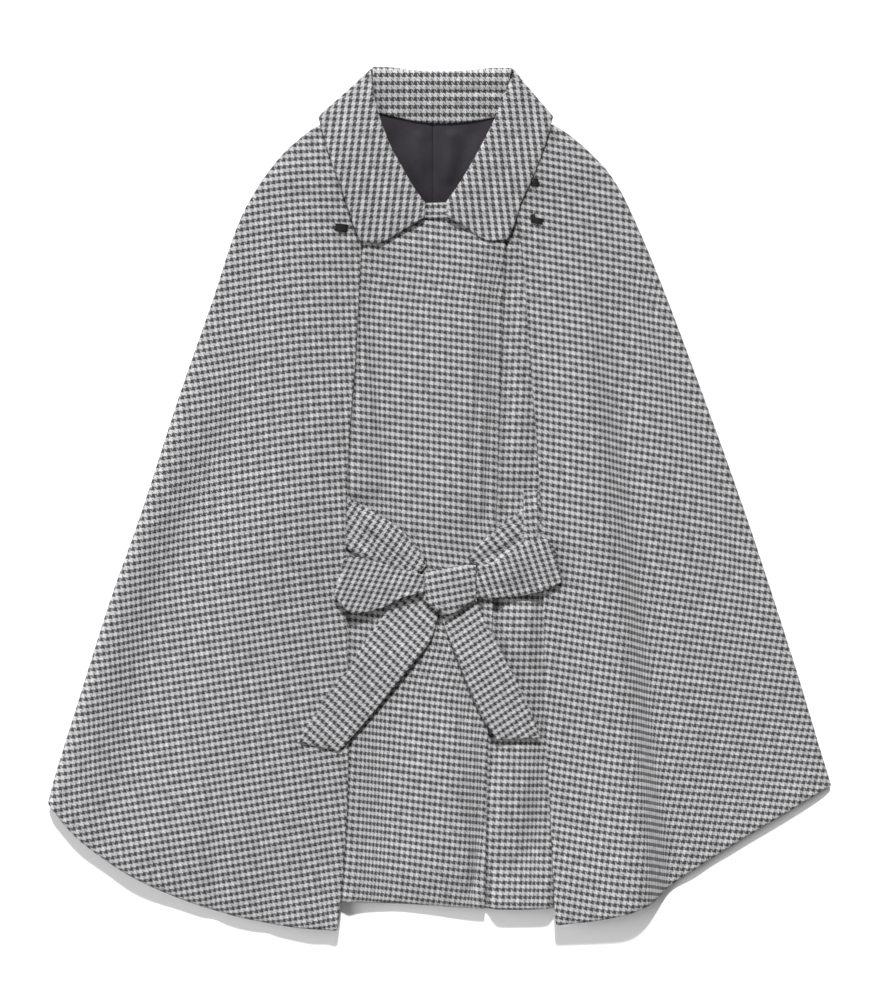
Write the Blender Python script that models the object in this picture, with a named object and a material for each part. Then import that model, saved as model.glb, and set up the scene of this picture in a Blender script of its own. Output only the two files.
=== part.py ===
"""Cape coat with a turned-down collar and a tied belt, lying flat on its back.

Lengths are in millimetres until a piece is made. "x" runs to the right from the centre line,
"down" runs from the top of the collar toward the hem, and "z" is the height above the floor.
Left and right are as seen from above. Every piece is one layer of cloth with its own thickness.
"""
import math

import bmesh
import bpy
from mathutils import Vector

# Sizes of the cloth
MM = 0.001
CLOTH = 2.0
LINING = 1.0
BELT = 2.0
CARRIER_CLOTH = 1.2
SEAM_GAP = 0.3
LAYER_GAP = 0.6
# From the top of the collar to the middle of the coat's length
HALF_LENGTH = 432.7

# Heights that the layers add as they lie on each other, and where each of them starts and fades
COLLAR_LIFT = 2.8
COLLAR_MIDDLE_X = -4.0
COLLAR_HALF_WIDTH = 122.0
COLLAR_LENGTH = 88.0
COLLAR_FADE = 50.0
LINING_LIFT = 1.6
LINING_HALF_WIDTH = 66.0
LINING_LENGTH = 178.0
LINING_FADE = 44.0
OVERLAP_LIFT = 2.8
OVERLAP_FROM_X = -50.0
OVERLAP_TO_X = 14.0

# The cape: side edge and front edge of each half, row by row from neck to hem
# columns: side_x, side_down, front_x, front_down
CAPE_LEFT = [
    (-76, 47, -74, 86), (-99, 53, -74, 110), (-124, 61, -75, 140), (-158, 88, -78, 172),
    (-188, 129, -80, 210), (-206, 167, -82, 250), (-228, 234, -85, 305), (-262, 332, -91, 380),
    (-298, 444, -94, 470), (-330, 534, -93, 560), (-360, 629, -91, 660), (-384, 706, -94, 770),
    (-392, 738, -102, 865)]
CAPE_RIGHT = [
    (74, 47, 71, 86), (95, 54, 72, 110), (118, 62, 75, 140), (148, 84, 80, 172),
    (176, 116, 85, 210), (198, 160, 87, 250), (226, 228, 91, 305), (264, 330, 97, 380),
    (302, 436, 102, 470), (332, 526, 104, 560), (360, 614, 106, 660), (384, 694, 111, 770),
    (392, 720, 115, 859)]

# Neck edges of the cape and its hems, from the side to the front edge, columns: x, down
NECK_LEFT = [(-76, 47), (-75, 66), (-74, 86)]
NECK_RIGHT = [(74, 47), (73, 66), (71, 86)]
HEM_LEFT = [(-392, 738), (-366, 769), (-332, 796), (-292, 819), (-246, 838), (-198, 852),
            (-150, 861), (-102, 865)]
HEM_RIGHT = [(392, 720), (352, 744), (312, 768), (272, 793), (234, 818), (206, 840),
             (166, 852), (115, 859)]
# The back is cut a little shorter than the fronts, columns: x, down
BACK_NECK = [(-76, 47), (-50, 52), (-20, 56), (0, 57), (20, 56), (50, 52), (74, 47)]
BACK_HEM = [(-392, 738), (-318, 800), (-220, 832), (-110, 830), (0, 828), (110, 829),
            (215, 822), (315, 760), (392, 720)]

# How high the cape stands off the back along its length, columns: down, left_rise, right_rise
CAPE_RISE = [(40, 4.6, 4.6), (180, 4.8, 4.8), (320, 4.8, 4.8), (420, 5.6, 5.6), (468, 5.9, 5.9),
             (508, 4.8, 4.8), (560, 3.9, 4.2), (680, 3.8, 4.4), (780, 4.6, 5.2), (866, 5.4, 5.4)]
RISE_PART = 0.62
SHOULDER_EASE = 1.1
# The long soft fold of the right half, columns: down, x
FOLD_LINE = [(250, 150), (440, 180), (640, 203), (860, 220)]
FOLD_HEIGHT = 5.0
FOLD_WIDTH = 20.0
FOLD_HOLLOW = 0.75
# Places of its ridge and hollow, in fold widths from the line, and where the fold comes up
FOLD_RIDGE_AT = -0.9
FOLD_HOLLOW_AT = 0.5
FOLD_FROM_DOWN = 230.0
FOLD_FULL_DOWN = 480.0
FOLD_SIDE_PART = 0.3
FOLD_FRONT_PART = 0.8

# The coat fronts, columns: left_x, left_down, right_x, right_down
FRONT_OVER = [
    (-98, 92, 66, 160), (-118, 170, 64, 215), (-146, 270, 61, 300), (-158, 370, 58, 395),
    (-166, 470, 55, 490), (-174, 580, 51, 600), (-182, 700, 47, 715), (-188, 830, 45, 843)]
OVER_NECK = [(-98, 92), (-64, 108), (-38, 132), (-16, 147), (4, 149), (24, 152), (44, 156), (66, 160)]
OVER_HEM = [(-188, 830), (-99, 836), (-40, 838), (10, 841), (45, 843)]
FRONT_UNDER = [
    (24, 176, 100, 96), (24, 230, 126, 180), (23, 300, 150, 280), (22, 395, 160, 380),
    (22, 490, 166, 480), (21, 600, 172, 590), (21, 715, 180, 705), (20, 841, 186, 832)]
UNDER_NECK = [(24, 176), (48, 158), (74, 124), (100, 96)]
UNDER_HEM = [(20, 841), (47, 843), (112, 842), (186, 832)]

# The lining of the back, seen in the neck, columns: left_x, left_down, right_x, right_down
SEAM_X = -7.0
LINING_LEFT = [(-64, 45, SEAM_X, 50), (-58, 80, SEAM_X, 84), (-44, 120, SEAM_X, 128),
               (-32, 168, SEAM_X, 174)]
LINING_RIGHT = [(SEAM_X, 50, 60, 45), (SEAM_X, 84, 56, 80), (SEAM_X, 128, 38, 120),
                (SEAM_X, 174, 26, 168)]

# The stand of the collar at the back of the neck, columns: x, down
STAND_TOP = [(-62, 1.6), (-48, 2.4), (-26, 5.0), (0, 6.0), (26, 5.2), (50, 3.0), (66, 1.9)]
STAND_FOOT = [(-61, 47), (-44, 51), (-24, 55.5), (-4, 57.5), (18, 57), (38, 54.5), (57, 50)]
# Height of its lower face from the roll to the neck seam, columns: part, z
STAND_HEIGHT = [(0.0, 5.6), (0.05, 7.6), (0.12, 8.8), (0.25, 9.4), (0.5, 8.6), (1.0, 6.7)]
# The front end of the stand, seen under the throat, columns: left_x, left_down, right_x, right_down
THROAT = [(-26, 137.4, 18, 136.2), (-28, 145, 22, 145), (-30, 153, 26, 153)]
THROAT_CLOTH = 1.2

# The fall of the collar, from the middle of the back round to the tip of each leaf
# columns: roll_x, roll_down, edge_x, edge_down, roll_z, edge_z, settled
# "settled" is the part of the width in which it comes to rest
FALL_LEFT = [
    (0, 5.6, 0, 84, 4.6, 1.1, 0.12), (-26, 5.0, -34, 84, 4.6, 1.1, 0.12),
    (-48, 2.4, -70, 82, 4.6, 1.1, 0.12), (-61, 1.0, -100, 73, 4.6, 1.35, 0.14),
    (-66.5, 1.2, -116, 57.5, 5.0, 1.55, 0.3), (-69, 4.0, -122, 52, 8.0, 7.4, 0.5),
    (-68.5, 8.0, -121, 55, 12.2, 12.8, 0.6), (-67, 22, -117, 68, 15.6, 14.2, 0.7),
    (-62, 46, -110, 92, 17.4, 14.4, 0.75), (-50, 79, -100, 119, 17.8, 13.6, 0.75),
    (-38, 101, -92, 142, 17.4, 12.4, 0.75), (-26, 122, -86, 161, 15.4, 11.4, 0.75),
    (-14, 138, -79, 177, 12.6, 10.8, 0.75)]
FALL_RIGHT = [
    (0, 5.6, 0, 84, 4.6, 1.1, 0.12), (26, 5.0, 34, 84, 4.6, 1.1, 0.12),
    (50, 3.2, 68, 82, 4.6, 1.1, 0.12), (64, 1.8, 95, 73, 4.6, 1.35, 0.14),
    (71.5, 2.4, 108, 57.5, 5.0, 1.55, 0.3), (74, 5.6, 113, 52, 8.0, 7.4, 0.5),
    (72, 10.0, 112, 55, 12.2, 12.8, 0.6), (67, 22, 109, 68, 15.6, 14.2, 0.7),
    (56, 50, 101, 92, 17.4, 14.4, 0.75), (43, 76, 91, 117, 17.8, 13.6, 0.75),
    (30, 100, 82, 136, 17.4, 12.4, 0.75), (17, 121, 75, 158, 15.4, 11.4, 0.75),
    (6, 136.5, 67, 175, 12.6, 10.8, 0.75)]
# The front edge of each leaf swells below the straight line from the roll to the tip
LEAF_SWELL = 12.0
SWELL_FROM = 0.8
SWELL_SHAPE = 0.6
# Sections of the fall and of the stand lie closer near the roll, by these powers
FALL_CLOSER = 1.7
STAND_CLOSER = 1.8
# The front stands hold the roll up along the neck, over this part of each half of the fall
STAND_WIDTH = 9.0
STAND_FIRST = 0.67
STAND_LAST = 0.97

# The belt lengths along their middle lines, columns: x, down, z, width
BAND_LEFT = [(-152, 433, 5.2, 44), (-120, 442, 5.2, 45), (-90, 458, 5.2, 45), (-55, 479, 5.3, 44),
             (-34, 495, 6.0, 34), (-20, 507, 6.8, 20)]
BAND_RIGHT = [(156, 438, 5.2, 44), (128, 449, 5.2, 45), (104, 457, 5.2, 42), (80, 465, 6.2, 33),
              (56, 482, 8.2, 28), (36, 500, 8.0, 24)]
# The carrier that holds the belt on the right
CARRIER = [(90.5, 424, 5.4, 14), (90.5, 430, 5.8, 14), (90.5, 438, 7.8, 14), (90.5, 452, 8.3, 14),
           (90.5, 478, 8.9, 14), (90.5, 492, 8.6, 14), (90.5, 500, 6.2, 14), (90.5, 508, 5.4, 14)]

# The tails of the bow from the knot down, columns: left_x, left_down, right_x, right_down
TAIL_LEFT = [(-27, 518, -3, 530), (-42, 530, -2, 550), (-58, 552, -9, 574), (-76, 578, -24, 594),
             (-95, 606, -44, 619), (-115, 632, -66, 646), (-143, 676, -101, 686)]
TAIL_RIGHT = [(4, 530, 27, 520), (2, 550, 38, 536), (8, 570, 47, 560), (19, 596, 62, 588),
              (30, 624, 77, 617), (42, 650, 90, 644), (57, 674, 101, 672)]
# How high they lie over the coat front; the left one climbs onto the cape
# columns: down, left_rise, right_rise
TAIL_RISE = [(524, 0.6, 0.0), (560, 0.0, 0.0), (578, 1.4, 0.0), (592, 3.5, 0.0), (684, 3.5, -0.2)]

# The bow loops from the knot outward, z at the middle of their two layers
# columns: upper_x, upper_down, upper_z, lower_x, lower_down, lower_z
LOOP_LEFT = [(-15.5, 509, 12.2, -15.5, 526, 12.2), (-37, 503, 11.6, -38, 532, 11.8),
             (-60, 497, 10.8, -60, 543, 9.0), (-82, 491, 11.4, -88, 547, 11.6),
             (-95, 492, 12.9, -105, 531, 12.2)]
LOOP_RIGHT = [(36.5, 501, 12.8, 36.5, 531, 12.8), (58, 494, 13.5, 57, 532, 11.4),
              (80, 481, 13.4, 82, 530, 9.2), (100, 471, 13.6, 106, 524, 12.2),
              (112, 478, 14.0, 122, 516, 12.4)]
LOOP_HALF = 2.1
LOOP_TAPER = 0.2
LOOP_DROOP_FROM = 0.3
LOOP_HALF_AT_KNOT = 1.5
# Share of the loop's cloth that lies in the turn at its end, and how much of the reach it takes
LOOP_TURN = 0.28
LOOP_TURN_REACH = 0.035
# The knot that wraps the loops, columns: x, down, half_down, half_z
KNOT = [(-15, 520, 15, 3.2), (-4, 523, 20, 3.3), (10, 525, 24, 3.3), (24, 520, 21, 3.3),
        (36, 516, 17, 3.2)]
KNOT_Z = 13.7
KNOT_CLOTH = 1.4
# How gently its flat top passes into its round sides
KNOT_FLAT = 1.0

# Finishes: colour as linear red, green, blue and alpha, then roughness
WOOL = ((0.29, 0.28, 0.28, 1.0), 0.9)
SATIN = ((0.045, 0.037, 0.052, 1.0), 0.45)


# Curves and tables
def ease(start, end, value):
    """Goes from 0 to 1 smoothly as value passes from start to end."""
    t = min(1.0, max(0.0, (value - start) / (end - start)))
    return t * t * (3.0 - 2.0 * t)


def mix(a, b, t):
    return a + (b - a) * t


def along(rows, t):
    """Reads a table of evenly spaced rows as one smooth curve, t from 0 to 1."""
    place = min(max(t, 0.0), 1.0) * (len(rows) - 1)
    i = min(int(place), len(rows) - 2)
    f = place - i
    before, after = rows[max(i - 1, 0)], rows[min(i + 2, len(rows) - 1)]
    out = []
    for a, b, c, d in zip(before, rows[i], rows[i + 1], after):
        slope_b = (c - a) / (2.0 if i > 0 else 1.0)
        slope_c = (d - b) / (2.0 if i + 2 < len(rows) else 1.0)
        out.append((2 * f**3 - 3 * f**2 + 1) * b + (f**3 - 2 * f**2 + f) * slope_b
                   + (3 * f**2 - 2 * f**3) * c + (f**3 - f**2) * slope_c)
    return out


def look_up(rows, key, column):
    """Reads one column of a table at a value of its first column."""
    if key <= rows[0][0]:
        return rows[0][column]
    for low, high in zip(rows, rows[1:]):
        if key <= high[0]:
            return mix(low[column], high[column], ease(low[0], high[0], key))
    return rows[-1][column]


def at(x, down, z):
    """Turns garment millimetres into metres of the frame, hem toward -Y."""
    return Vector((x * MM, (HALF_LENGTH - down) * MM, z * MM))


# Heights of the lower face of each layer
def collar_lift(x, down):
    """The back rises over the part of the collar that lies under it."""
    outside = max(abs(x - COLLAR_MIDDLE_X) - COLLAR_HALF_WIDTH, down - COLLAR_LENGTH)
    return COLLAR_LIFT * (1.0 - ease(0.0, COLLAR_FADE, outside))


def lining_lift(x, down):
    """The fronts rise over the lining at the neck."""
    outside = max(abs(x) - LINING_HALF_WIDTH, down - LINING_LENGTH)
    return LINING_LIFT * (1.0 - ease(0.0, LINING_FADE, outside))


def lining_z(x, down):
    return CLOTH + SEAM_GAP + collar_lift(x, down)


def under_z(x, down):
    return CLOTH + LAYER_GAP + collar_lift(x, down) + lining_lift(x, down)


def over_z(x, down):
    """The overlapping front climbs onto the other one near the centre."""
    return under_z(x, down) + OVERLAP_LIFT * ease(OVERLAP_FROM_X, OVERLAP_TO_X, x)


def throat_z(x, down):
    return over_z(x, down) + CLOTH + SEAM_GAP


def tail_z(x, down, column):
    return over_z(x, down) + CLOTH + LAYER_GAP + look_up(TAIL_RISE, down, column)


def cape_z(x, down, u, column):
    """A cape half leaves the back at its side (u = 0) and lies over the coat at its front."""
    rise = look_up(CAPE_RISE, down, column) * ease(0.0, RISE_PART, u)
    lift = collar_lift(x, down)
    spare = SHOULDER_EASE * math.sin(math.pi * lift / COLLAR_LIFT)
    return CLOTH + SEAM_GAP + lift + spare + rise


def fold_z(x, down, u):
    """A long soft fold: a ridge with a hollow on its outer side."""
    off = (x - look_up(FOLD_LINE, down, 1)) / FOLD_WIDTH
    wave = math.exp(-(off - FOLD_RIDGE_AT)**2) - FOLD_HOLLOW * math.exp(-(off - FOLD_HOLLOW_AT)**2)
    ends = ease(0.0, FOLD_SIDE_PART, u) * ease(1.0, FOLD_FRONT_PART, u)
    return FOLD_HEIGHT * wave * ends * ease(FOLD_FROM_DOWN, FOLD_FULL_DOWN, down)


# Makers of cloth pieces
def material(name, colour, roughness):
    made = bpy.data.materials.new(name)
    made.use_nodes = True
    shader = made.node_tree.nodes["Principled BSDF"]
    shader.inputs["Base Color"].default_value = colour
    shader.inputs["Roughness"].default_value = roughness
    return made


def cloth(name, columns, rows, point, thick, side=1.0, ring=False):
    """Lays a grid on a surface, point(u, v) with u across and v down, and gives it a thickness.

    side is 1 to thicken above the surface and 0 to thicken both ways; a ring closes across.
    """
    bm = bmesh.new()
    bmesh.ops.create_grid(bm, x_segments=columns, y_segments=rows, size=0.5)
    for vert in bm.verts:
        vert.co = point(vert.co.x + 0.5, 0.5 - vert.co.y)
    if ring:
        bmesh.ops.remove_doubles(bm, verts=bm.verts, dist=0.01 * MM)
    mesh = bpy.data.meshes.new(name)
    bm.to_mesh(mesh)
    bm.free()
    mesh.shade_smooth()
    colour, roughness = SATIN if "lining" in name else WOOL
    mesh.materials.append(material(name + "_cloth", colour, roughness))
    made = bpy.data.objects.new(name, mesh)
    bpy.context.scene.collection.objects.link(made)
    made.parent = COAT
    wall = made.modifiers.new("wall", "SOLIDIFY")
    wall.thickness = thick * MM
    wall.offset = side
    wall.use_even_offset = True
    return made


def panel(name, sides, neck, hem, height, columns, rows, thick=CLOTH):
    """A cut panel from its two sides, its neck edge and its hem, laid at height(x, down, u)."""
    def point(u, v):
        left_x, left_down, right_x, right_down = along(sides, v)
        x, down = mix(left_x, right_x, u), mix(left_down, right_down, u)
        for edge, row, weight in ((neck, sides[0], (1.0 - v)**3), (hem, sides[-1], v**3)):
            edge_x, edge_down = along(edge, u)
            x += weight * (edge_x - mix(row[0], row[2], u))
            down += weight * (edge_down - mix(row[1], row[3], u))
        return at(x, down, height(x, down, u))
    return cloth(name, columns, rows, point, thick)


def plain_panel(name, sides, height, columns, rows, thick):
    """A panel whose neck edge and hem are straight."""
    neck, hem = ([row[:2], row[2:]] for row in (sides[0], sides[-1]))
    return panel(name, sides, neck, hem, height, columns, rows, thick)


def strip(name, rows, columns, steps, thick=BELT):
    """A belt length laid along its middle line."""
    def point(u, v):
        x, down, z, width = along(rows, v)
        ahead, behind = along(rows, v + 0.01), along(rows, v - 0.01)
        run = Vector((ahead[0] - behind[0], ahead[1] - behind[1])).normalized()
        across = (0.5 - u) * width
        return at(x - run.y * across, down + run.x * across, z)
    return cloth(name, columns, steps, point, thick)


# The panels of the cape and the coat
def make_panels():
    both = [(left[0], left[1], right[0], right[1]) for left, right in zip(CAPE_LEFT, CAPE_RIGHT)]
    panel("cape_back", both, BACK_NECK, BACK_HEM, lambda x, d, u: collar_lift(x, d), 18, 24)
    panel("cape_front_left", CAPE_LEFT, NECK_LEFT, HEM_LEFT,
          lambda x, d, u: cape_z(x, d, u, 1), 14, 26)
    right = [(front_x, front_d, side_x, side_d) for side_x, side_d, front_x, front_d in CAPE_RIGHT]
    panel("cape_front_right", right, NECK_RIGHT[::-1], HEM_RIGHT[::-1],
          lambda x, d, u: cape_z(x, d, 1.0 - u, 2) + fold_z(x, d, 1.0 - u), 22, 26)
    panel("coat_front_over", FRONT_OVER, OVER_NECK, OVER_HEM, lambda x, d, u: over_z(x, d), 16, 20)
    panel("coat_front_under", FRONT_UNDER, UNDER_NECK, UNDER_HEM,
          lambda x, d, u: under_z(x, d), 10, 20)


def make_lining():
    for name, rows, shift in (("back_lining_left", LINING_LEFT, -SEAM_GAP / 2),
                              ("back_lining_right", LINING_RIGHT, SEAM_GAP / 2)):
        moved = [(a + shift, b, c + shift, d) for a, b, c, d in rows]
        plain_panel(name, moved, lambda x, d, u: lining_z(x, d), 6, 10, LINING)


# The collar
def fall_point(rows, v, part):
    """A point of the fall, part 0 at its roll and 1 at its outer edge."""
    roll_x, roll_down, edge_x, edge_down, roll_z, edge_z, settled = along(rows, v)
    z = mix(roll_z, edge_z, ease(0.0, settled, part))
    reach = Vector((edge_x - roll_x, edge_down - roll_down)).normalized()
    swell = LEAF_SWELL * ease(SWELL_FROM, 1.0, v) * math.sin(math.pi * min(part, 1.0))**SWELL_SHAPE
    x = mix(roll_x, edge_x, part) - math.copysign(swell * reach.y, reach.x)
    return at(x, mix(roll_down, edge_down, part) + swell * abs(reach.x), z)


def front_stand(name, rows):
    """A sloping strip under the roll, from just below the leaf to the neck of the coat front."""
    def point(u, v):
        t = mix(STAND_FIRST, STAND_LAST, v)
        roll_x, roll_down, edge_x, edge_down = along(rows, t)[:4]
        reach = Vector((edge_x - roll_x, edge_down - roll_down))
        inward = mix(1.0, STAND_WIDTH, 1.0 - u if rows is FALL_LEFT else u)
        x, down = Vector((roll_x, roll_down)) + reach.normalized() * inward
        leaf = fall_point(rows, t, inward / reach.length).z / MM - CLOTH / 2
        top = leaf - CLOTH - LAYER_GAP
        seat = over_z(x, down) + CLOTH + LAYER_GAP
        return at(x, down, mix(top, seat, ease(1.0, STAND_WIDTH, inward)))
    cloth(name, 4, 14, point, CLOTH)


def make_collar():
    def fall(u, v):
        rows = FALL_LEFT if u < 0.5 else FALL_RIGHT
        return fall_point(rows, abs(2.0 * u - 1.0), v**FALL_CLOSER)
    cloth("collar_fall", 60, 8, fall, CLOTH, side=0.0)

    def stand(u, v):
        top, foot = along(STAND_TOP, u), along(STAND_FOOT, u)
        part = v**STAND_CLOSER
        z = look_up(STAND_HEIGHT, part, 1)
        return at(mix(top[0], foot[0], part), mix(top[1], foot[1], part), z)
    cloth("collar_stand", 14, 9, stand, CLOTH)
    front_stand("collar_stand_left", FALL_LEFT)
    front_stand("collar_stand_right", FALL_RIGHT)
    plain_panel("collar_stand_front", THROAT, lambda x, d, u: throat_z(x, d), 8, 3, THROAT_CLOTH)


# The belt and its bow
def loop_run(v):
    """How far a loop reaches out at v, and whether it is above (1) or below (-1) its middle."""
    turn = math.pi * min(1.0, max(0.0, (v - 0.5) / LOOP_TURN + 0.5))
    straight = min(1.0, min(v, 1.0 - v) / (0.5 - LOOP_TURN / 2))
    return straight * (1.0 - LOOP_TURN_REACH) + math.sin(turn) * LOOP_TURN_REACH, math.cos(turn)


def loop(name, rows):
    """A belt length that runs out from the knot, turns at the end and comes back below."""
    def point(u, v):
        reach, rise = loop_run(v)
        row = along(rows, reach)
        x, down = mix(row[0], row[3], u), mix(row[1], row[4], u)
        z = mix(row[2], row[5], ease(LOOP_DROOP_FROM, 1.0, u))
        out = ease(0.0, 0.5, reach)
        half = mix(LOOP_HALF_AT_KNOT, LOOP_HALF, out) * (1.0 - LOOP_TAPER * out * u)
        return at(x, down, z + half * rise)
    cloth(name, 6, 22, point, BELT, side=0.0)


def knot_point(u, v):
    """The knot is flat on top, with round sides."""
    x, down, half_down, half_z = along(KNOT, v)
    angle = 2.0 * math.pi * u
    side = 2.0 * ease(-KNOT_FLAT, KNOT_FLAT, math.cos(angle)) - 1.0
    across = (half_down - half_z) * side + half_z * math.cos(angle)
    return at(x, down + across, KNOT_Z + half_z * math.sin(angle))


def make_belt():
    strip("belt_band_left", BAND_LEFT, 4, 14)
    strip("belt_band_right", BAND_RIGHT, 4, 14)
    strip("belt_carrier", CARRIER, 2, 18, CARRIER_CLOTH)
    for name, rows, column in (("bow_tail_left", TAIL_LEFT, 1), ("bow_tail_right", TAIL_RIGHT, 2)):
        plain_panel(name, rows, lambda x, d, u: tail_z(x, d, column), 4, 14, BELT)
    loop("bow_loop_left", LOOP_LEFT)
    loop("bow_loop_right", LOOP_RIGHT)
    cloth("bow_knot", 22, 10, knot_point, KNOT_CLOTH, side=-1.0, ring=True)


for old in list(bpy.data.objects):
    bpy.data.objects.remove(old)
COAT = bpy.data.objects.new("cape_coat", None)
bpy.context.scene.collection.objects.link(COAT)
make_panels()
make_lining()
make_collar()
make_belt()
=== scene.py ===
# %% [markdown]
# # A houndstooth cape coat laid flat
# The coat lies on its back on a pale floor and the camera looks straight down at it. It has a cape
# back, two wide cape fronts, two coat fronts that overlap in the middle, a turned-down collar with a
# dark lining behind it, and a belt tied in a bow.
#
# The solids of the frame give every place and height. The pieces made here are finer shells of cloth
# on the same forms, with the folds and the weave that the solids leave out. Sizes are in millimetres
# of the garment: x to the right of the centre line, down from the top of the collar, z off the floor.

# %% Load the frame
import math

import bmesh
import bpy
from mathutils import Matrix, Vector, noise
from mathutils.bvhtree import BVHTree


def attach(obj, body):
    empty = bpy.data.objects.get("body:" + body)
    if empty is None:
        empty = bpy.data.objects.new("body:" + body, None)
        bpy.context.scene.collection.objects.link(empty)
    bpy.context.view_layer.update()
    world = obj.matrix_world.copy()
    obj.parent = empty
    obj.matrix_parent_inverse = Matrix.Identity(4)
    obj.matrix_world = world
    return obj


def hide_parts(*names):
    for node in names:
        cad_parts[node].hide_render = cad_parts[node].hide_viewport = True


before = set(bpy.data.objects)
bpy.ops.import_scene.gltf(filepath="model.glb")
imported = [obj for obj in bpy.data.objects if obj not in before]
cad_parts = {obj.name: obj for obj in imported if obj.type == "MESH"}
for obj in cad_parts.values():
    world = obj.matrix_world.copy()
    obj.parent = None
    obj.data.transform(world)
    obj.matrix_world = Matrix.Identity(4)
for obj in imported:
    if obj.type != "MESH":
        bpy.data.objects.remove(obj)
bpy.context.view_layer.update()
print("frame loaded with", len(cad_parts), "solids")

# %% [markdown]
# ## Camera, light and floor
# The picture was taken from straight above with a long lens, so that sides far from the middle still
# look flat. One pixel of it is one millimetre of the coat, which gives the height of the camera.
#
# One lamp stands low beyond the collar. It throws the crisp grey shadow under the hem. A wide, soft
# one on the left shows the folds, because a slope that falls away to the right gets less of it. The
# rest of the light is even and comes from a white room, which keeps the shadows pale.

# %% Camera
MM = 0.001
# The frame's middle is this far down from the top of the collar
HALF_LENGTH = 432.7
PICTURE_HEIGHT = 996.0
# What the middle of the picture shows: x, down
PICTURE_MIDDLE = (-3.0, 432.0)
LENS = 100.0
SENSOR = 36.0
# Height off the floor at which a pixel is a millimetre
SCALE_HEIGHT = 8.0


def at(x, down, z):
    """Turns garment millimetres into metres of the frame, hem toward -Y."""
    return Vector((x * MM, (HALF_LENGTH - down) * MM, z * MM))


camera = bpy.data.objects.new("camera", bpy.data.cameras.new("camera"))
camera.data.lens = LENS
camera.data.sensor_width = SENSOR
camera.location = at(*PICTURE_MIDDLE, SCALE_HEIGHT + PICTURE_HEIGHT * LENS / SENSOR)
bpy.context.scene.collection.objects.link(camera)
bpy.context.scene.camera = camera
print("camera stands", round(camera.location.z, 3), "m above the floor")

# %% Light and floor
# columns: name, strength, size in degrees, tip from straight above in degrees
LAMPS = [("top lamp", 6.3, 6.0, (-56.0, 0.0, 0.0)), ("left lamp", 3.4, 60.0, (0.0, -69.0, 0.0))]
ROOM_STRENGTH = 0.26
FLOOR_GREY = 0.9
FLOOR_ROUGHNESS = 0.9
FLOOR_SIZE = 4.0
FLOOR_DROP = 0.2


def add_mesh(name, bm, material):
    """Turns a bmesh into a smooth object of one material."""
    made = bpy.data.objects.new(name, bpy.data.meshes.new(name))
    bm.to_mesh(made.data)
    bm.free()
    made.data.shade_smooth()
    made.data.materials.append(material)
    bpy.context.scene.collection.objects.link(made)
    return made


for name, strength, size, tip in LAMPS:
    lamp = bpy.data.objects.new(name, bpy.data.lights.new(name, "SUN"))
    lamp.data.energy = strength
    lamp.data.angle = math.radians(size)
    lamp.rotation_euler = [math.radians(degrees) for degrees in tip]
    bpy.context.scene.collection.objects.link(lamp)
room = bpy.data.worlds.new("white room")
room.use_nodes = True
room.node_tree.nodes["Background"].inputs["Color"].default_value = (1.0, 1.0, 1.0, 1.0)
room.node_tree.nodes["Background"].inputs["Strength"].default_value = ROOM_STRENGTH
bpy.context.scene.world = room
bpy.context.scene.view_settings.view_transform = "Standard"

paint = bpy.data.materials.new("floor_paint")
paint.use_nodes = True
paint_shader = paint.node_tree.nodes["Principled BSDF"]
paint_shader.inputs["Base Color"].default_value = (FLOOR_GREY, FLOOR_GREY, FLOOR_GREY, 1.0)
paint_shader.inputs["Roughness"].default_value = FLOOR_ROUGHNESS
bm = bmesh.new()
bmesh.ops.create_grid(bm, x_segments=1, y_segments=1, size=FLOOR_SIZE)
bmesh.ops.translate(bm, verts=bm.verts, vec=(0.0, 0.0, -FLOOR_DROP * MM))
floor = add_mesh("floor", bm, paint)
print(len(LAMPS), "lamps, a white room and a floor")

# %% [markdown]
# ## Curves from short tables
# A pattern cutter works with a few measured points and draws smooth lines through them. The helpers
# below do the same: `along` reads a table of evenly spaced rows, `read` reads one column over the
# first one, and `ease` and `bend` blend from one state to another without a corner.


# %% Curve helpers
def ease(start, end, value):
    """Goes from 0 to 1 smoothly as value passes from start to end."""
    t = min(1.0, max(0.0, (value - start) / (end - start)))
    return t * t * (3.0 - 2.0 * t)


def bend(start, end, value):
    """Is level before start and rises one for one after end, with a smooth turn between."""
    t = max(0.0, (value - start) / (end - start))
    return (end - start) * (t**3 - t**4 / 2.0 if t < 1.0 else t - 0.5)


def mix(a, b, t):
    return a + (b - a) * t


def hermite(b, c, slope_b, slope_c, f):
    return ((2 * f**3 - 3 * f**2 + 1) * b + (f**3 - 2 * f**2 + f) * slope_b
            + (3 * f**2 - 2 * f**3) * c + (f**3 - f**2) * slope_c)


def along(rows, t):
    """Reads a table of evenly spaced rows as one smooth curve, t from 0 to 1."""
    place = min(max(t, 0.0), 1.0) * (len(rows) - 1)
    i = min(int(place), len(rows) - 2)
    before, after = rows[max(i - 1, 0)], rows[min(i + 2, len(rows) - 1)]
    return [hermite(b, c, (c - a) / (2.0 if i > 0 else 1.0),
                    (d - b) / (2.0 if i + 2 < len(rows) else 1.0), place - i)
            for a, b, c, d in zip(before, rows[i], rows[i + 1], after)]


def read(rows, key, column=1):
    """Reads one column of a table as a smooth curve over its first column."""
    if key <= rows[0][0]:
        return rows[0][column]
    if key >= rows[-1][0]:
        return rows[-1][column]
    i = next(k for k in range(len(rows) - 1) if key < rows[k + 1][0])
    near = [rows[max(i - 1, 0)], rows[i], rows[i + 1], rows[min(i + 2, len(rows) - 1)]]
    a, b, c, d = ((row[0], row[column]) for row in near)
    span = c[0] - b[0]
    slope_b = (c[1] - a[1]) / (c[0] - a[0]) * span
    slope_c = (d[1] - b[1]) / (d[0] - b[0]) * span
    return hermite(b[1], c[1], slope_b, slope_c, (key - b[0]) / span)


print("curve helpers ready")

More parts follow.
